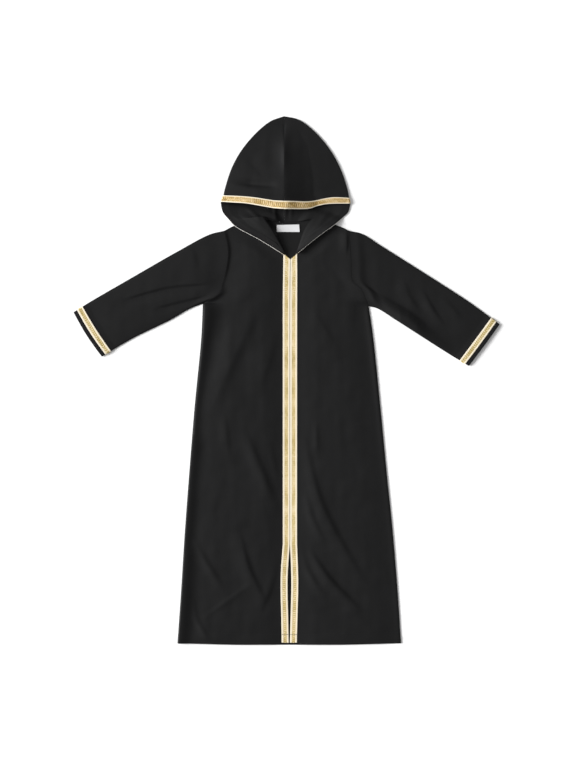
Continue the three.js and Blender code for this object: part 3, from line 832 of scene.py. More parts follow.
def sleeve_layer(side):
    """A sleeve as a flat tube: at each station down the upper layer, round the underarm fold as a half
    circle, back up the lower layer and round the upper fold. The upper layer lifts to the armhole as the
    front does, is puffed along the underarm, and laps into the seam."""
    stations, lines = sleeve_lines(side)
    station = stations[:, None]
    radius = mixed(seam_radius, fold_radius, eased(station, *seam_opening))
    height = back_height + braid_lift * np.clip(station - sleeve_stations, 0, 1)
    across = unit(lines[:, -1] - lines[:, 0])[:, None]
    width = np.linalg.norm(lines[:, -1] - lines[:, 0], axis=1)[:, None]
    share = np.linspace(0, 1, lines.shape[1])[None, :]
    half_round = np.sin(np.pi * share)
    squeeze = radius * (1 - 2 * share)
    lower = lines + across * squeeze[..., None]
    x, y = lower[..., 0], lower[..., 1]
    flattened = eased(station, sleeve_stations - cuff_fade[0], sleeve_stations + cuff_fade[1])
    fade = half_round**swell_power * eased(station, 0, seam_fade) * mixed(1, cuff_flatness, flattened)
    strip_start = station_marks[3]
    strip = cuff_rise * eased(station, strip_start, strip_start + strip_ramp) * half_round**cuff_power
    underarm_puff = np.interp(station, *side["underarm_puff"])
    from_fold = np.maximum((1 - share) * width - np.interp(station, *underarm_edge), 0)
    puff = underarm_puff * bell(from_fold, underarm_width)
    level_part, falling_part = side["lift_reach"]
    from_armhole = np.linalg.norm(lines - lines[:1], axis=-1)
    falling = bell(np.maximum(from_armhole - level_part, 0), falling_part)
    lifted = np.interp(lines[0, :, 1], *side["armhole_lift"])[None, :] * falling
    rise = sleeve_ease * cloth_rise(x, y, fade, body_folds, fine_folds) + strip + puff + lifted
    lap = seam_lap * bell(station, lap_reach) * half_round**lap_power
    inwards = -unit(np.gradient(lines[:, lines.shape[1] // 2], axis=0))[:1, None]
    upper = np.dstack([lower + inwards * lap[..., None], height + 2 * radius + rise])
    turn_out, turn_down = np.cos(np.radians(fold_angles)), np.sin(np.radians(fold_angles))

    def fold(centre, outwards, puffed=0.0):
        flat = centre[:, None] + outwards * (radius * turn_out)[..., None]
        return np.dstack([flat, height + (radius + puffed / 2) * (1 + turn_down)])

    underarm = fold(lower[:, -1], across, underarm_puff)
    overarm = fold(lower[:, 0], -across)[:, ::-1]
    below = np.dstack([lower, np.broadcast_to(height, x.shape)])[:, ::-1]
    points = np.swapaxes(np.concatenate([upper, underarm, below, overarm], axis=1), 0, 1)
    closed = np.concatenate([points, points[:1]])
    girth = summed(np.linalg.norm(np.diff(closed, axis=0), axis=-1).mean(axis=1))
    weave = np.stack(np.meshgrid(girth * MM, along(lines[:, 0]) * MM, indexing="ij"), axis=-1)
    return Layer(points, weave, tube=True, facing=side["direction"]), stations


def hood_edges(side):
    """The lines that bound one half of the hood: its outer line (outline, corner, turned face edge and
    lapel edge) and its inner lines above (centre seam) and below (centre seam, back neck and neck seam)."""
    n = hood_fineness
    seam_x = centre_seam_x + 0.5 * stitch_gap * side["direction"]

    def seam(high, low, pieces):
        return np.stack([np.full(pieces + 1, seam_x), np.linspace(high, low, pieces + 1)], axis=-1)

    outline = divided(side["hood_outline"], hood_rows * n)
    outline[0, 0] = seam_x
    back_neck = back_neck_seam(side, (neck_corner_row - face_row) * n)
    back_neck[0, 0] = seam_x
    outer = joined(
        outline,
        divided(side["hood_corner"], (face_row - hood_rows) * n),
        divided(side["face_turn"], (neck_corner_row - face_row) * n),
        divided(side["lapel_edge"], (last_hood_row - neck_corner_row) * n),
    )
    seam_top, above_nape = hood_top[1] - seam_top_drop, nape[1] + nape_rise
    upper = seam(seam_top, side["braid_edge"][0][1], hood_rows * n)
    lower = joined(
        seam(seam_top, above_nape, hood_rows * n),
        seam(above_nape, nape[1], (face_row - hood_rows) * n),
        back_neck,
        divided(side["neck_seam"], (last_hood_row - neck_corner_row) * n),
    )
    return seam_x, outer, upper, lower


def hood_upper(side, across):
    """The hood's upper layer from the centre seam to the fold: straight mixes between seam and outline,
    bent towards the face like the braid's edge. To the wearer's left it falls evenly from the ridge along
    the seam as far as the valley, over a low dome. To the right the ridge dies away with distance, over a
    high dome. Both domes go by 1 - a², less of it on the right. A crest, the folds and the seam's dip are
    added."""
    seam_x, outer, inner, _ = hood_edges(side)
    rows = np.arange(face_row * hood_fineness + 1) / hood_fineness
    a = across[:, None]
    braid_line = at_shares(curve(side["braid_edge"]), across)
    face_line = at_shares(curve(side["face_edge"]), across)
    bend = braid_line - mixed(braid_line[0], braid_line[-1], a)
    edge = outer[: len(rows)]
    seam_line = np.concatenate([inner, np.repeat(inner[-1:], len(rows) - len(inner), axis=0)])
    bent = bend[:, None] * (rows / hood_rows)[None, :, None] ** bend_power
    head = mixed(seam_line[None], edge[None], a[..., None]) + bent
    in_band = ((rows - hood_rows) / (face_row - hood_rows))[None, :, None]
    face = mixed(braid_line[:, None], face_line[:, None], in_band)
    flat = np.where((rows <= hood_rows)[None, :, None], head, face)
    flat[across == 0, :, 0] = seam_x
    x, y = flat[..., 0], flat[..., 1]
    rows = rows[None, :]
    at_band = eased(rows, hood_rows - bridge_rows[0], hood_rows + bridge_rows[1])
    bridge = ridge_bridge * at_band + least_bridge
    from_seam = np.hypot(x - centre_seam_x, bridge) - bridge
    ridge = np.interp(y, *side["hood_ridge"])
    if side["direction"] > 0:
        left = 1 - np.clip(from_seam / np.interp(y, *hood_valley), 0, 1)
        fall = even_fall * left + (1 - even_fall) * left**2
        dome = hood_side_rise * (1 - a**2)
    else:
        fall = np.exp(-from_seam / hood_seam_fall)
        dome = (hood_rise - ridge) * (1 - side_fall * a**2)
    at_crest = eased(rows, 0, crest_rows) * eased(y, *crest_heights)
    crest = hood_crest * np.exp(-from_seam / crest_fall) * at_crest
    lift = braid_lift * np.clip(rows - (hood_rows - 1), 0, 1)
    dip = seam_dip_depth * bell(x - centre_seam_x, seam_dip_width) * eased(rows, 0, 1)
    fade = np.minimum(1, fold_fade * (1 - a)) * np.minimum(1, rows / peak_rows)
    wavy = fade * (relief(hood_folds, x, y) + waves(x, y))
    raised = (dome + ridge * fall) * eased(rows, 0, face_row) + crest
    z = back_height + lift + 2 * fold_radius + raised + wavy - dip
    return np.dstack([x, y, z])


def hood_lower(side, rows, reach):
    """Points of the hood's lower layer at rows of its outline and distances in from it. It lies on the
    surface, climbs onto the fronts' shoulders, and lies higher where the braid is turned under its edge.
    Past the neck's corner it is the lapel, lifted at its edge and rolled."""
    _, outer, _, inner = hood_edges(side)
    place = np.arange(len(outer)) / hood_fineness
    start, end = between(rows, place, outer), between(rows, place, inner)
    width = np.linalg.norm(end - start, axis=-1)
    share = reach / width
    flat = mixed(start, end, share[..., None])
    x, y = flat[..., 0], flat[..., 1]
    front_inner, front_outer = front_edges(side, 1)
    outside = distance_outside(x, y, np.concatenate([front_inner, front_outer[::-1]]))
    on_front = 1 - eased(outside, *climb)
    past_corner = eased(rows, neck_corner_row, neck_corner_row + corner_rows)
    edge_lift = side["lapel_lift"] * past_corner * (1 - np.clip(share, 0, 1))
    room = width - np.minimum(hood_braid_width, braid_share * width)
    narrow = 1 - eased(room, *beyond_braid)
    past_braid = np.clip((reach - (width - room)) / np.maximum(room / braid_foot_share, 1e-6), 0, 1)
    over_braid = mixed(1, narrow, past_braid) * np.clip(rows - (hood_rows - 1), 0, 1)
    off_sides = eased(share, 0, shown[0]) * (1 - eased(share, shown[1], 1))
    shows = eased(rows, face_row - 1, face_row + 1) * off_sides
    off_lapel = 1 - lapel_calm * eased(rows, face_row + lapel_rows[0], face_row + lapel_rows[1])
    deep = eased(rows, face_row - deep_rows[0], face_row - deep_rows[1]) * eased(share, *deep_share)
    folds = np.maximum(relief(inside_folds, x, y), 0) * np.maximum(shows, deep * off_lapel)
    off_corner = 1 - eased(rows, neck_corner_row - neck_end, neck_corner_row)
    at_neck = eased(rows, face_row - neck_start[0], face_row + neck_start[1]) * off_corner
    before, after = neck_lap_ramp
    lapped = neck_lap_height * at_neck * eased(reach, width - before, width - after)
    roll = np.minimum(np.interp(rows, *side["lapel_roll"]), most_roll_share * width)
    roll = roll * eased(share, roll_start, roll_place) * (1 - eased(share, roll_place, 1))
    lie = back_height + on_front_height * on_front + edge_lift + braid_lift * over_braid
    z = lie + folds + lapped + roll
    return np.dstack([x, y, z])


def lower_widths(side, rows):
    """The distance across the hood's lower layer at each row."""
    _, outer, _, inner = hood_edges(side)
    place = np.arange(len(outer)) / hood_fineness
    width = np.linalg.norm(inner - outer, axis=1)
    return np.interp(rows, place, width)


def hood_layer(side):
    """One half of the hood as a single sheet: the upper layer from the centre seam out, round the fold as a
    half circle, and the lower layer back to the centre seam, the back neck and the front neck."""
    rows = np.arange(last_hood_row * hood_fineness + 1) / hood_fineness
    head_rows = face_row * hood_fineness + 1
    upper_columns = hood_columns * hood_fineness
    across = np.linspace(0, 1, upper_columns + 1)
    upper = hood_upper(side, across)
    width = np.linalg.norm(upper[-1, :, :2] - upper[0, :, :2], axis=-1)
    outwards = unit(upper[-1, :, :2] - upper[0, :, :2])
    turned = outwards * np.minimum(fold_radius, 0.5 * width)[:, None]
    upper[..., :2] -= across[:, None, None] * turned[None]
    upper = np.concatenate([upper, np.repeat(upper[:, -1:], len(rows) - head_rows, axis=1)], axis=1)
    off_corner = 1 - eased(rows, neck_corner_row - half_row, neck_corner_row)
    at_neck = eased(rows, face_row - half_row, face_row) * off_corner
    full = lower_widths(side, rows) + neck_lap * at_neck
    start = np.where(rows <= face_row, fold_radius, 0)
    lower_share = np.linspace(0, 1, lower_columns * hood_fineness + 1)[:, None]
    reach = mixed(start[None], full[None], lower_share)
    lower = hood_lower(side, np.broadcast_to(rows, reach.shape), reach)
    lower[-1, : hood_rows * hood_fineness + 1, 0] = hood_edges(side)[0]
    angle = np.radians(fold_angles)
    top, bottom = upper[-1], lower[0]
    middle, half = (top + bottom) / 2, (top - bottom) / 2
    out = np.zeros_like(top)
    out[:head_rows, :2] = turned
    fold = middle + np.sin(angle)[:, None, None] * half + np.cos(angle)[:, None, None] * out
    points = np.concatenate([upper, fold, lower])
    cells = np.ones((len(points) - 1, len(rows) - 1), bool)
    cells[: upper_columns + len(angle) + 1, head_rows - 1:] = False
    return Layer(points, weave_of(points[..., :2]), cells=cells, facing=-side["direction"])


def braid_relief(across, length, edge):
    """The braid's woven face in millimetres: two round cords along each edge, and between them ridges that
    slant from the middle to both sides, so that they meet as arrowheads."""
    side = np.minimum(across, 1 - across)
    cords = cord_height * np.abs(np.sin(np.pi * side / edge * 2)) * (side < edge)
    slanted = np.sin(2 * np.pi * (length / arrow_pitch) + arrow_slant * np.abs(across - 0.5))
    return cords + arrow_height * (1 + slanted) * (side >= edge)


def braid_weave(across, length, edge):
    """The braid's weave map: x is the share across it, scaled from the middle so that the cords always end
    at the same value, and y the length in widths of the front's braid."""
    scaled = 0.5 + (across - 0.5) * (0.5 - front_cords) / (0.5 - edge)
    x, y = np.broadcast_arrays(scaled, length / braid_width)
    return np.stack([x, y], axis=-1)


# Materials.


class Nodes:
    """The nodes of one material, added and joined by name."""

    def __init__(self, name):
        self.material = bpy.data.materials.new(name)
        self.material.use_nodes = True
        self.tree = self.material.node_tree
        self.shader = self.tree.nodes["Principled BSDF"]

    def add(self, kind, settings=None, **inputs):
        """Adds a node; an input is a number or colour, or another node's output."""
        node = self.tree.nodes.new(kind)
        for key, value in (settings or {}).items():
            setattr(node, key, value)
        for key, value in inputs.items():
            self.put(node, key, value)
        return node

    def put(self, node, key, value):
        """Sets one input, by its name with underscores for spaces or, after an underscore, by number."""
        socket = node.inputs[int(key[1:])] if key[0] == "_" else node.inputs[key.replace("_", " ")]
        if isinstance(value, bpy.types.NodeSocket):
            self.tree.links.new(value, socket)
        else:
            socket.default_value = value

    def look(self, **inputs):
        """Sets inputs of the shader."""
        for key, value in inputs.items():
            self.put(self.shader, key, value)

    def math(self, operation, a, b=0.0, c=0.0):
        """One step of arithmetic."""
        return self.add("ShaderNodeMath", {"operation": operation}, _0=a, _1=b, _2=c).outputs[0]

    def blended(self, a, share_a, b, share_b):
        """The sum of two values, each times its share."""
        return self.math("ADD", self.math("MULTIPLY", a, share_a), self.math("MULTIPLY", b, share_b))

    def wave(self, turn):
        """A sine of an angle, brought between 0 and 1."""
        return self.math("MULTIPLY_ADD", self.math("SINE", turn), 0.5, 0.5)

    def ramp(self, factor, stops):
        """A colour that changes with a factor, given as places and colours."""
        node = self.add("ShaderNodeValToRGB", _0=factor)
        elements = node.color_ramp.elements
        while len(elements) < len(stops):
            elements.new(0.5)
        for element, (place, colour) in zip(elements, stops):
            element.position = place
            element.color = (*colour, 1)
        return node.outputs["Color"]

    def weave(self):
        """The piece's own weave map, as x and y."""
        uv = self.add("ShaderNodeUVMap", {"uv_map": "weave"})
        parts = self.add("ShaderNodeSeparateXYZ", Vector=uv.outputs["UV"])
        return uv.outputs["UV"], parts.outputs["X"], parts.outputs["Y"]

    def bump(self, height, strength, distance):
        """Raises the shader's face by a height map."""
        node = self.add("ShaderNodeBump", Height=height, Strength=strength, Distance=distance)
        self.look(Normal=node.outputs["Normal"])


def darker(colour, share):
    """A colour multiplied by a share."""
    return tuple(channel * share for channel in colour)


def mixed_colour(a, b, share):
    """A colour between two others."""
    return tuple(p + (q - p) * share for p, q in zip(a, b))


def crepe_material(name, colour):
    """Black crepe: a fine pebbled weave with faint lengthwise slubs, and a soft sheen."""
    cloth = Nodes(name)
    uv = cloth.weave()[0]
    pebble = cloth.add("ShaderNodeTexNoise", Vector=uv, Scale=1500.0, Detail=3.0, Roughness=0.6)
    stretched = cloth.add("ShaderNodeMapping", Vector=uv, Scale=(900.0, 60.0, 1.0))
    slub = cloth.add("ShaderNodeTexNoise", Vector=stretched.outputs["Vector"], Scale=1.0, Detail=2.0)
    position = cloth.add("ShaderNodeTexCoord").outputs["Object"]
    cloud = cloth.add("ShaderNodeTexNoise", Vector=position, Scale=14.0, Detail=4.0, Roughness=0.55)
    tone = cloth.blended(slub.outputs[0], 0.45, cloud.outputs[0], 0.55)
    base = cloth.ramp(tone, [(0.3, darker(colour, 0.78)), (0.7, darker(colour, 1.22))])
    cloth.look(Base_Color=base, Roughness=0.62, Specular_IOR_Level=0.15)
    cloth.look(Sheen_Weight=0.02, Sheen_Roughness=0.45)
    grain = cloth.blended(pebble.outputs[0], 0.6, slub.outputs[0], 0.4)
    cloth.bump(grain, strength=0.6, distance=0.0003)
    return cloth.material


def braid_material(name, cream, gold, low):
    """Metallic braid: cream cords along both edges and gold between them, crossed by fine arrowheads of
    thread, with speckles and patches where it shows deeper, down to the low share of its colour, or
    paler."""
    braid = Nodes(name)
    uv, x, y = braid.weave()
    middle = braid.math("ABSOLUTE", braid.math("SUBTRACT", x, 0.5))
    arrows = braid.wave(braid.blended(y, 2 * math.pi * braid_width / arrow_pitch, middle, arrow_slant))
    threads = braid.wave(braid.math("MULTIPLY", y, thread_turn))
    speckles = braid.add("ShaderNodeTexNoise", Vector=uv, Scale=4.2, Detail=2.0)
    patches = braid.add("ShaderNodeTexNoise", Vector=uv, Scale=0.4, Detail=1.0)
    fine = braid.blended(arrows, 0.22, speckles.outputs[0], 0.5)
    shade = braid.math("ADD", fine, braid.math("MULTIPLY", patches.outputs[0], 0.5))
    pale = mixed_colour(gold, cream, 0.55)
    woven = braid.ramp(shade, [(0.48, darker(gold, low)), (0.62, gold), (0.75, pale)])
    corded = braid.ramp(threads, [(0.0, darker(cream, 0.86)), (1.0, cream)])
    border, soft = 0.5 - front_cords, 0.015
    black, white = (0, 0, 0), (1, 1, 1)
    in_cords = braid.ramp(middle, [(0.0, black), (border - soft, black), (border + soft, white)])
    blend = braid.add("ShaderNodeMix", {"data_type": "RGBA"}, _0=in_cords, _6=woven, _7=corded)
    braid.look(Base_Color=blend.outputs[2], Roughness=0.46, Metallic=0.12)
    braid.bump(braid.math("ADD", threads, arrows), strength=0.3, distance=0.0002)
    return braid.material


def label_material(name, white):
    """Blank white satin ribbon with a fine cross weave."""
    ribbon = Nodes(name)
    uv, _, y = ribbon.weave()
    rib = ribbon.add("ShaderNodeTexNoise", Vector=uv, Scale=900.0, Detail=2.0)
    tone = ribbon.ramp(rib.outputs[0], [(0.3, darker(white, 0.93)), (0.7, white)])
    ribbon.look(Base_Color=tone, Roughness=0.5)
    ribs = ribbon.math("SINE", ribbon.math("MULTIPLY", y, rib_turn))
    ribbon.bump(ribs, strength=0.2, distance=0.0001)
    return ribbon.material


def thread_material(name, colour):
    """Sewing thread, twisted along its length."""
    thread = Nodes(name)
    position = thread.add("ShaderNodeTexCoord").outputs["Object"]
    twist = thread.add("ShaderNodeTexNoise", Vector=position, Scale=1600.0, Detail=1.0)
    tone = thread.ramp(twist.outputs[0], [(0.3, darker(colour, 0.75)), (0.7, colour)])
    thread.look(Base_Color=tone, Roughness=0.55, Specular_IOR_Level=0.3)
    return thread.material


# Each material's maker and the chosen colours that it takes. A braid takes its cords' and its middle's, and
# the share of the middle's colour where it is deepest.
materials = {
    "black crepe": (crepe_material, ["crepe"]),
    "black thread": (thread_material, ["crepe"]),
    "cream thread": (thread_material, ["cream"]),
    "white label": (label_material, ["label"]),
    "gold braid": (braid_material, ["cream", "gold"], 0.62),
    # The hood braid's middle is the front braid's gold darkened: painted shade.
    "hood braid": (braid_material, ["cream", "hood_gold_painted_shade"], 0.3),
    # The lapel braid's middle takes the same darkened gold, painted shade, and its cords a paler cream than
    # the other braids: painted light.
    "lapel braid": (braid_material, ["lapel_cord", "hood_gold_painted_shade"], 0.3),
    # The cuff braid's middle is the front braid's gold darkened: painted shade.
    "cuff braid": (braid_material, ["cream", "cuff_gold"], 0.6),
}


def shared_material(name):
    """The material of that name, made the first time that it is asked for."""
    if name in bpy.data.materials:
        return bpy.data.materials[name]
    make, colours, *shares = materials[name]
    looks = bpy.context.scene.abaya_looks
    return make(name, *(tuple(getattr(looks, colour)) for colour in colours), *shares)


def stitched(name, runs, thread, slot_name, length=2.3, pitch=3.5, thickness=0.42):
    """Rows of stitches on lines of points with their directions: each is a small spindle of rings, whose
    radius follows the sine of the angle along it, half sunk in the cloth."""
    angle = np.radians(stitch_angles)
    turn = np.linspace(0, 2 * np.pi, stitch_sides, endpoint=False)
    stations, sides_round = len(angle), len(turn)
    all_points, all_faces, count = [], [], 0
    for line, normals in runs:
        distance = along(line)
        centres = np.arange(pitch / 2, distance[-1], pitch)
        where = between(centres, distance, line)
        up = unit(between(centres, distance, normals))
        ahead = unit(between(centres, distance, unit(np.gradient(line, axis=0))))
        beside = unit(np.cross(ahead, up))
        radius = thickness / 2 * np.sin(angle)[None, :, None, None]
        ring = (
            where[:, None, None]
            - ahead[:, None, None] * length / 2 * np.cos(angle)[None, :, None, None]
            + beside[:, None, None] * radius * np.cos(turn)[None, None, :, None]
            + up[:, None, None] * radius * np.sin(turn)[None, None, :, None]
        )
        all_points.append(ring.reshape(-1, 3))
        base = np.arange(len(centres))[:, None, None, None] * stations * sides_round + count
        band = np.arange(stations - 1)[None, :, None, None] * sides_round
        a = np.arange(sides_round)[None, None, :, None]
        b = (a + 1) % sides_round
        around = np.concatenate([a, a + sides_round, b + sides_round, b], axis=-1) + base + band
        near_end = np.array([[3, 2, 1, 0], [5, 4, 3, 0]])[None]
        far_end = (stations - 1) * sides_round + np.array([[0, 1, 2, 3], [0, 3, 4, 5]])[None]
        caps = np.concatenate([near_end, far_end], axis=1) + base[..., 0]
        all_faces += [around.reshape(-1, 4), caps.reshape(-1, 4)]
        count += len(centres) * stations * sides_round
    points, faces = np.concatenate(all_points), np.concatenate(all_faces)
    weave = np.zeros((faces.size, 2))
    piece = new_piece(name, points, faces[:, ::-1], weave, shared_material(thread), sharp=80)
    return piece


def laid(node, area):
    """Hides the model's part that a piece of cloth replaces. Its cut, the area, is not used."""
    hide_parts(node)


def half_cloth():
    """Half the chosen thickness of the cloth, in millimetres."""
    return bpy.context.scene.abaya_sizes.cloth_thickness / MM / 2


def cloth_wall(name, layer):
    """A wall of cloth of the chosen thickness, half to each side of its layer."""
    return wall(name, layer, -half_cloth(), half_cloth(), shared_material("black crepe"))


def stepped(distance):
    """Even steps of a braid along a line, from the distances of the line's points, and the points' numbers
    there."""
    steps = np.linspace(0, distance[-1], round(distance[-1] / braid_step) + 1)
    return steps, np.interp(steps, distance, np.arange(len(distance)))


def braid_strip(name, points, across, lengths, edge, facing, material, tube=False):
    """A braid on the cloth whose middle points are given: a wall from just above the cloth to its woven
    face. As a tube its last points meet its first."""
    base = half_cloth() + bpy.context.scene.abaya_sizes.layer_gap / MM
    weave = braid_weave(across, lengths, edge)
    if tube:
        points, lengths = points[:-1], lengths[:-1]
    layer = Layer(points, weave, tube=tube, facing=facing)
    top = base + braid_thickness * woven_share + braid_relief(across, lengths, edge)
    return wall(name, layer, base, top, shared_material(material)), layer, top


def edge_runs(layer, height, axis=0):
    """Lines along a braid near its edges, on its face, with their directions."""
    directions = np.moveaxis(layer.directions(), axis, 0)
    face = np.moveaxis(layer.moved(height), axis, 0)
    columns = [round(place * (len(face) - 1)) for place in stitched_places]
    return [(face[column], directions[column]) for column in columns]


def colour_choice(name, description, default):
    """A colour that a user may change."""
    return FloatVectorProperty(
        name=name, description=description, default=default, subtype="COLOR", min=0, max=1,
    )


class AbayaSizes(bpy.types.PropertyGroup):
    """Sizes that a user may change."""

    cloth_thickness: FloatProperty(
        name="Cloth thickness", description="Thickness of the crepe", default=0.0007, min=0.0004,
        max=0.0012, unit="LENGTH", precision=4,
    )
    layer_gap: FloatProperty(
        name="Layer gap", description="Room between a braid and its cloth", default=0.0002, min=0.00005,
        max=0.0003, unit="LENGTH", precision=5,
    )
    camera_distance: FloatProperty(
        name="Camera distance", description="Height of the camera above the garment", default=4.0,
        unit="LENGTH",
    )
    view_height: FloatProperty(
        name="View height", description="Length of floor from the bottom to the top of the picture",
        default=1.6128, unit="LENGTH",
    )


class AbayaLooks(bpy.types.PropertyGroup):
    """Colours and lights that a user may change."""

    crepe: colour_choice("Crepe", "Colour of the cloth", (0.0054, 0.0054, 0.0056))
    cream: colour_choice("Cream thread", "Colour of the braid's edges", (0.88, 0.79, 0.62))
    gold: colour_choice("Gold thread", "Colour of the braid's middle", (0.6, 0.455, 0.18))
    # The hood's gold is the front braid's gold darkened: painted shade.
    hood_gold_painted_shade: colour_choice("Hood's gold thread", "Colour of the hood braid's middle", (0.52, 0.33, 0.08))
    # The cuffs' gold is the front braid's gold darkened: painted shade.
    cuff_gold: colour_choice("Cuffs' gold thread", "Colour of the cuff braids' middle", (0.5, 0.38, 0.13))
    # The lapel cord is the braids' cream made paler: painted light.
    lapel_cord: colour_choice("Lapel cord", "Colour of the cord under the lapels", (0.95, 0.92, 0.86))
    label: colour_choice("Label", "Colour of the blank label", (0.66, 0.66, 0.67))
    floor: colour_choice("Floor", "Colour of the floor", (0.93, 0.93, 0.93))
    key_strength: FloatProperty(
        name="Key light", description="Strength of the soft light from the left", default=6.2, min=0,
    )
    fill_strength: FloatProperty(
        name="Fill light", description="Strength of the soft light from above", default=0.62, min=0,
    )
    sky_strength: FloatProperty(
        name="Surrounding light", description="Strength of the even light", default=0.25,
    )


class ABAYA_OT_back(bpy.types.Operator):
    """Makes the back panel, which lies flat under the fronts and shows at the neck and in the slit"""

    bl_idname = "abaya.back"
    bl_label = "Back"

    def execute(self, context):
        layer = back_layer()
        piece = cloth_wall("back_panel", layer)
        laid("back", layer.area())
        return {"FINISHED"}


class ABAYA_OT_fronts(bpy.types.Operator):
    """Makes both fronts with their folds, hem and the braids down the centre"""

    bl_idname = "abaya.fronts"
    bl_label = "Fronts and their braids"

    def execute(self, context):
        last = braid_columns * braid_fineness
        columns = np.linspace(0, last, braid_lines)[:, None]
        across = np.linspace(0, 1, braid_lines)[:, None]
        for name, side in sides.items():
            layer = front_layer(side)
            piece = cloth_wall(f"front_panel_{name}", layer)
            distance = along(layer.points[0, : neck_row * body_fineness + 1])
            steps = np.linspace(braid_hem, distance[-1], round(distance[-1] / braid_step) + 1)
            rows = np.interp(steps, distance, np.arange(len(distance)))[None, :]
            points = sampled(layer.points, *np.broadcast_arrays(columns, rows))
            braid, strip, top = braid_strip(
                f"braid_front_{name}", points, across, steps[None, :], front_cords, side["direction"],
                "gold braid",
            )
            runs = edge_runs(strip, top)
            stitches = stitched(f"stitches_front_{name}", runs, "cream thread", "gold_braid")
            places = np.arange(len(layer.points))
            numbers = np.arange(layer.points.shape[1])
            row = np.full(len(places), np.interp(hem_line, layer.points[0, :, 1], numbers))
            line, up = sampled(layer.points, places, row), sampled(layer.directions(), places, row)
            on_braid = [((line + up * braid_stitch_height)[: last + 1], up[: last + 1])]
            on_cloth = [((line + up * half_cloth())[last + 1:], up[last + 1:])]
            stitched(
                f"braid_hem_stitches_{name}", on_braid, "black thread", "black_crepe", **braid_hem_stitch,
            )
            stitched(f"hem_stitches_{name}", on_cloth, "black thread", "black_crepe", **hem_stitch)
            laid(f"front_{name}", layer.area())
            laid(f"trim_front_{name}", None)
        return {"FINISHED"}


class ABAYA_OT_sleeves(bpy.types.Operator):
    """Makes both sleeves as flat tubes, with the braid round each cuff"""

    bl_idname = "abaya.sleeves"
    bl_label = "Sleeves and cuffs"

    def execute(self, context):
        across = np.linspace(0, 1, braid_lines)[None, :]
        for name, side in sides.items():
            layer, stations = sleeve_layer(side)
            piece = cloth_wall(f"sleeve_tube_{name}", layer)
            closed = np.concatenate([layer.points, layer.points[:1]])
            first, last = (np.searchsorted(stations, mark) for mark in station_marks[2:4])
            steps, around = stepped(along(closed[:, (first + last) // 2]))
            rows = np.linspace(first, last, braid_lines)
            points = sampled(closed, *np.meshgrid(around, rows, indexing="ij"))
            braid, strip, top = braid_strip(
                # The cuff braids take the darkened gold: painted shade.
                f"braid_cuff_{name}", points, across, steps[:, None], front_cords, side["direction"],
                "cuff braid", tube=True,
            )
            runs = edge_runs(strip, top, axis=1)
            stitches = stitched(f"stitches_cuff_{name}", runs, "cream thread", "gold_braid")
            laid(f"sleeve_{name}", layer.area())
            laid(f"trim_cuff_{name}", None)
        return {"FINISHED"}


def face_braid_points(layers):
    """The middle points under the braid across the face, from fold to fold over both halves of the hood,
    and the distance along it."""
    last = hood_columns * hood_fineness + fold_middle
    band = slice(hood_rows * hood_fineness, face_row * hood_fineness + 1)
    right, left = (layers[name].points[: last + 1, band] for name in ("right", "left"))
    grid = np.concatenate([right[::-1], left])
    steps, columns = stepped(along(grid[:, grid.shape[1] // 2]))
    high, low = (
        np.interp(steps / steps[-1], face_braid_places, shares)
        for shares in (face_braid_top, face_braid_foot)
    )
    rows = mixed(high, low, np.linspace(0, 1, braid_lines)[:, None]) * (grid.shape[1] - 1)
    return sampled(grid, np.broadcast_to(columns, rows.shape), rows), steps


def lapel_braid_points(side):
    """The middle points above the braid that is turned under a lapel. Past the corner it stands out from
    the edge by a cord's width."""
    rows = np.linspace(hood_rows, last_hood_row, edge_samples)
    edge = hood_lower(side, rows[None, :], np.zeros((1, rows.size)))[0]
    distance = along(edge)
    steps = stepped(distance)[0]
    rows = np.interp(steps, distance, rows)[None, :]
    wide = np.minimum(hood_braid_width, braid_share * lower_widths(side, rows))
    past_corner = eased(rows, neck_corner_row - cord_rows[0], neck_corner_row + cord_rows[1])
    first = mixed(fold_radius, -lapel_cord, past_corner)
    share = np.linspace(0, 1, braid_lines)[:, None]
    reach = mixed(first, wide + first, share)
    return hood_lower(side, np.broadcast_to(rows, reach.shape), reach), steps


class ABAYA_OT_hood(bpy.types.Operator):
    """Makes the two halves of the hood and the braid along its face edge and lapels"""

    bl_idname = "abaya.hood"
    bl_label = "Hood and its braid"

    def execute(self, context):
        layers = {name: hood_layer(side) for name, side in sides.items()}
        for name, layer in layers.items():
            piece = cloth_wall(f"hood_half_{name}", layer)
            laid(f"hood_{name}", layer.area())
        across = np.linspace(0, 1, braid_lines)[:, None]
        points, steps = face_braid_points(layers)
        # The braid across the face takes the darkened gold: painted shade.
        braid, strip, top = braid_strip(
            "braid_face", points, across, steps[None, :], thin_cords, 1, "hood braid",
        )
        stitches = stitched("stitches_face", edge_runs(strip, top), "cream thread", "gold_braid")
        laid("trim_hood", None)
        for name, side in sides.items():
            points, steps = lapel_braid_points(side)
            # The lapel braids take the darkened gold and the paler cord: painted shade and painted light.
            braid, strip, top = braid_strip(
                f"braid_lapel_{name}", points, across, steps[None, :], thin_cords, -side["direction"],
                "lapel braid",
            )
            laid("trim_hood", strip.area())
        return {"FINISHED"}


class ABAYA_OT_label(bpy.types.Operator):
    """Makes the blank label inside the back neck"""

    bl_idname = "abaya.label"
    bl_label = "Label"

    def execute(self, context):
        a, b, c, d = (np.array(corner) for corner in label_corners)
        across = np.linspace(0, 1, label_columns)[:, None, None]
        up = np.linspace(0, 1, label_rows)[None, :, None]
        flat = mixed(mixed(a, b, across), mixed(d, c, across), up)
        ripple = label_ripple * np.sin(label_waves[0] * across) * np.cos(label_waves[1] * up)
        points = np.concatenate([flat, label_height + ripple], axis=-1)
        layer = Layer(points, weave_of(points))
        piece = wall("neck_label", layer, -label_half, label_half, shared_material("white label"))
        laid("label", None)
        return {"FINISHED"}


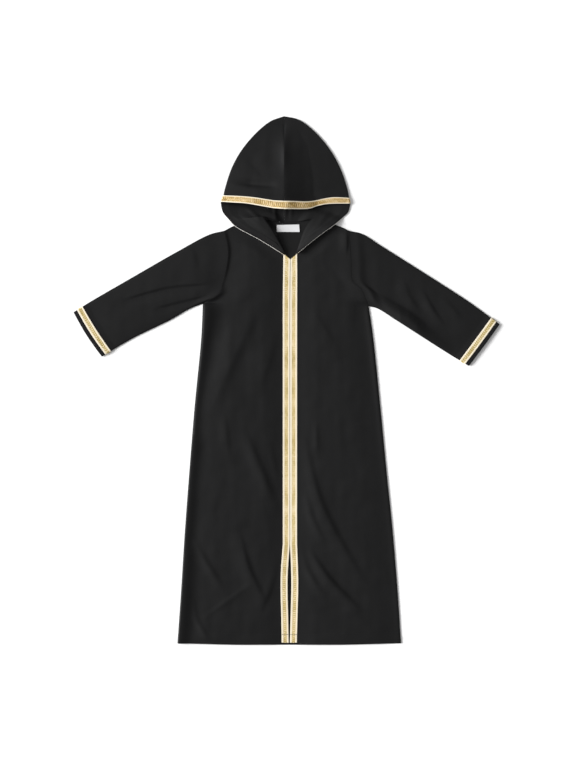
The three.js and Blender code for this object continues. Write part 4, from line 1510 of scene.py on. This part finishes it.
class ABAYA_OT_stage(bpy.types.Operator):
    """Makes the floor, the soft lights and the camera straight above"""

    bl_idname = "abaya.stage"
    bl_label = "Stage"

    def execute(self, context):
        looks, sizes = context.scene.abaya_looks, context.scene.abaya_sizes
        mesh = bpy.data.meshes.new("floor")
        corners = [(x * floor_half, y * floor_half, 0) for x, y in ((-1, -1), (1, -1), (1, 1), (-1, 1))]
        mesh.from_pydata(corners, [], [(0, 1, 2, 3)])
        floor = placed("floor", mesh)
        paper = Nodes("pale floor")
        position = paper.add("ShaderNodeTexCoord").outputs["Object"]
        grain = paper.add("ShaderNodeTexNoise", Vector=position, Scale=400.0)
        pale = tuple(looks.floor)
        colour = paper.ramp(grain.outputs[0], [(0.0, darker(pale, 0.99)), (1.0, pale)])
        paper.look(Base_Color=colour, Roughness=0.9)
        mesh.materials.append(paper.material)
        centre = (cad_low + cad_high) / 2
        lights = (
            ("key light", (-5.0, 0.5, 2.35), 32, looks.key_strength),
            ("fill light", (-0.6, 0.8, 4.0), 60, looks.fill_strength),
        )
        for name, place, spread, strength in lights:
            data = bpy.data.lights.new(name, "SUN")
            data.angle = math.radians(spread)
            data.energy = strength
            light = placed(name, data)
            light.location = place
            light.rotation_euler = (-light.location).to_track_quat("-Z", "Y").to_euler()
        world = bpy.data.worlds.new("even light")
        world.use_nodes = True
        world.node_tree.nodes["Background"].inputs["Color"].default_value = (1, 1, 1, 1)
        world.node_tree.nodes["Background"].inputs["Strength"].default_value = looks.sky_strength
        context.scene.world = world
        context.scene.view_settings.view_transform = "Standard"
        camera_data = bpy.data.cameras.new("camera")
        camera_data.sensor_width = 36.0
        camera_data.lens = camera_data.sensor_width * sizes.camera_distance / sizes.view_height
        camera = placed("camera", camera_data)
        camera.location = (centre.x + camera_shift[0], centre.y + camera_shift[1], sizes.camera_distance)
        context.scene.camera = camera
        return {"FINISHED"}


class ABAYA_PT_panel(bpy.types.Panel):
    """Lists the garment's pieces in the sidebar"""

    bl_idname = "ABAYA_PT_panel"
    bl_label = "Abaya"
    bl_space_type = "VIEW_3D"
    bl_region_type = "UI"
    bl_category = "Abaya"

    def draw(self, context):
        for group in (context.scene.abaya_sizes, context.scene.abaya_looks):
            for name in group.__annotations__:
                self.layout.prop(group, name)
        for operator in operators:
            self.layout.operator(operator.bl_idname)


operators = (ABAYA_OT_stage, ABAYA_OT_back, ABAYA_OT_fronts, ABAYA_OT_sleeves, ABAYA_OT_hood, ABAYA_OT_label)
classes = (AbayaSizes, AbayaLooks, *operators, ABAYA_PT_panel)


def register():
    for each in classes:
        bpy.utils.register_class(each)
    bpy.types.Scene.abaya_sizes = PointerProperty(type=AbayaSizes)
    bpy.types.Scene.abaya_looks = PointerProperty(type=AbayaLooks)


def unregister():
    del bpy.types.Scene.abaya_looks
    del bpy.types.Scene.abaya_sizes
    for each in reversed(classes):
        bpy.utils.unregister_class(each)


def main():
    register()
    for operator in operators:
        group, name = operator.bl_idname.split(".")
        getattr(getattr(bpy.ops, group), name)()


if __name__ == "__main__":
    main()
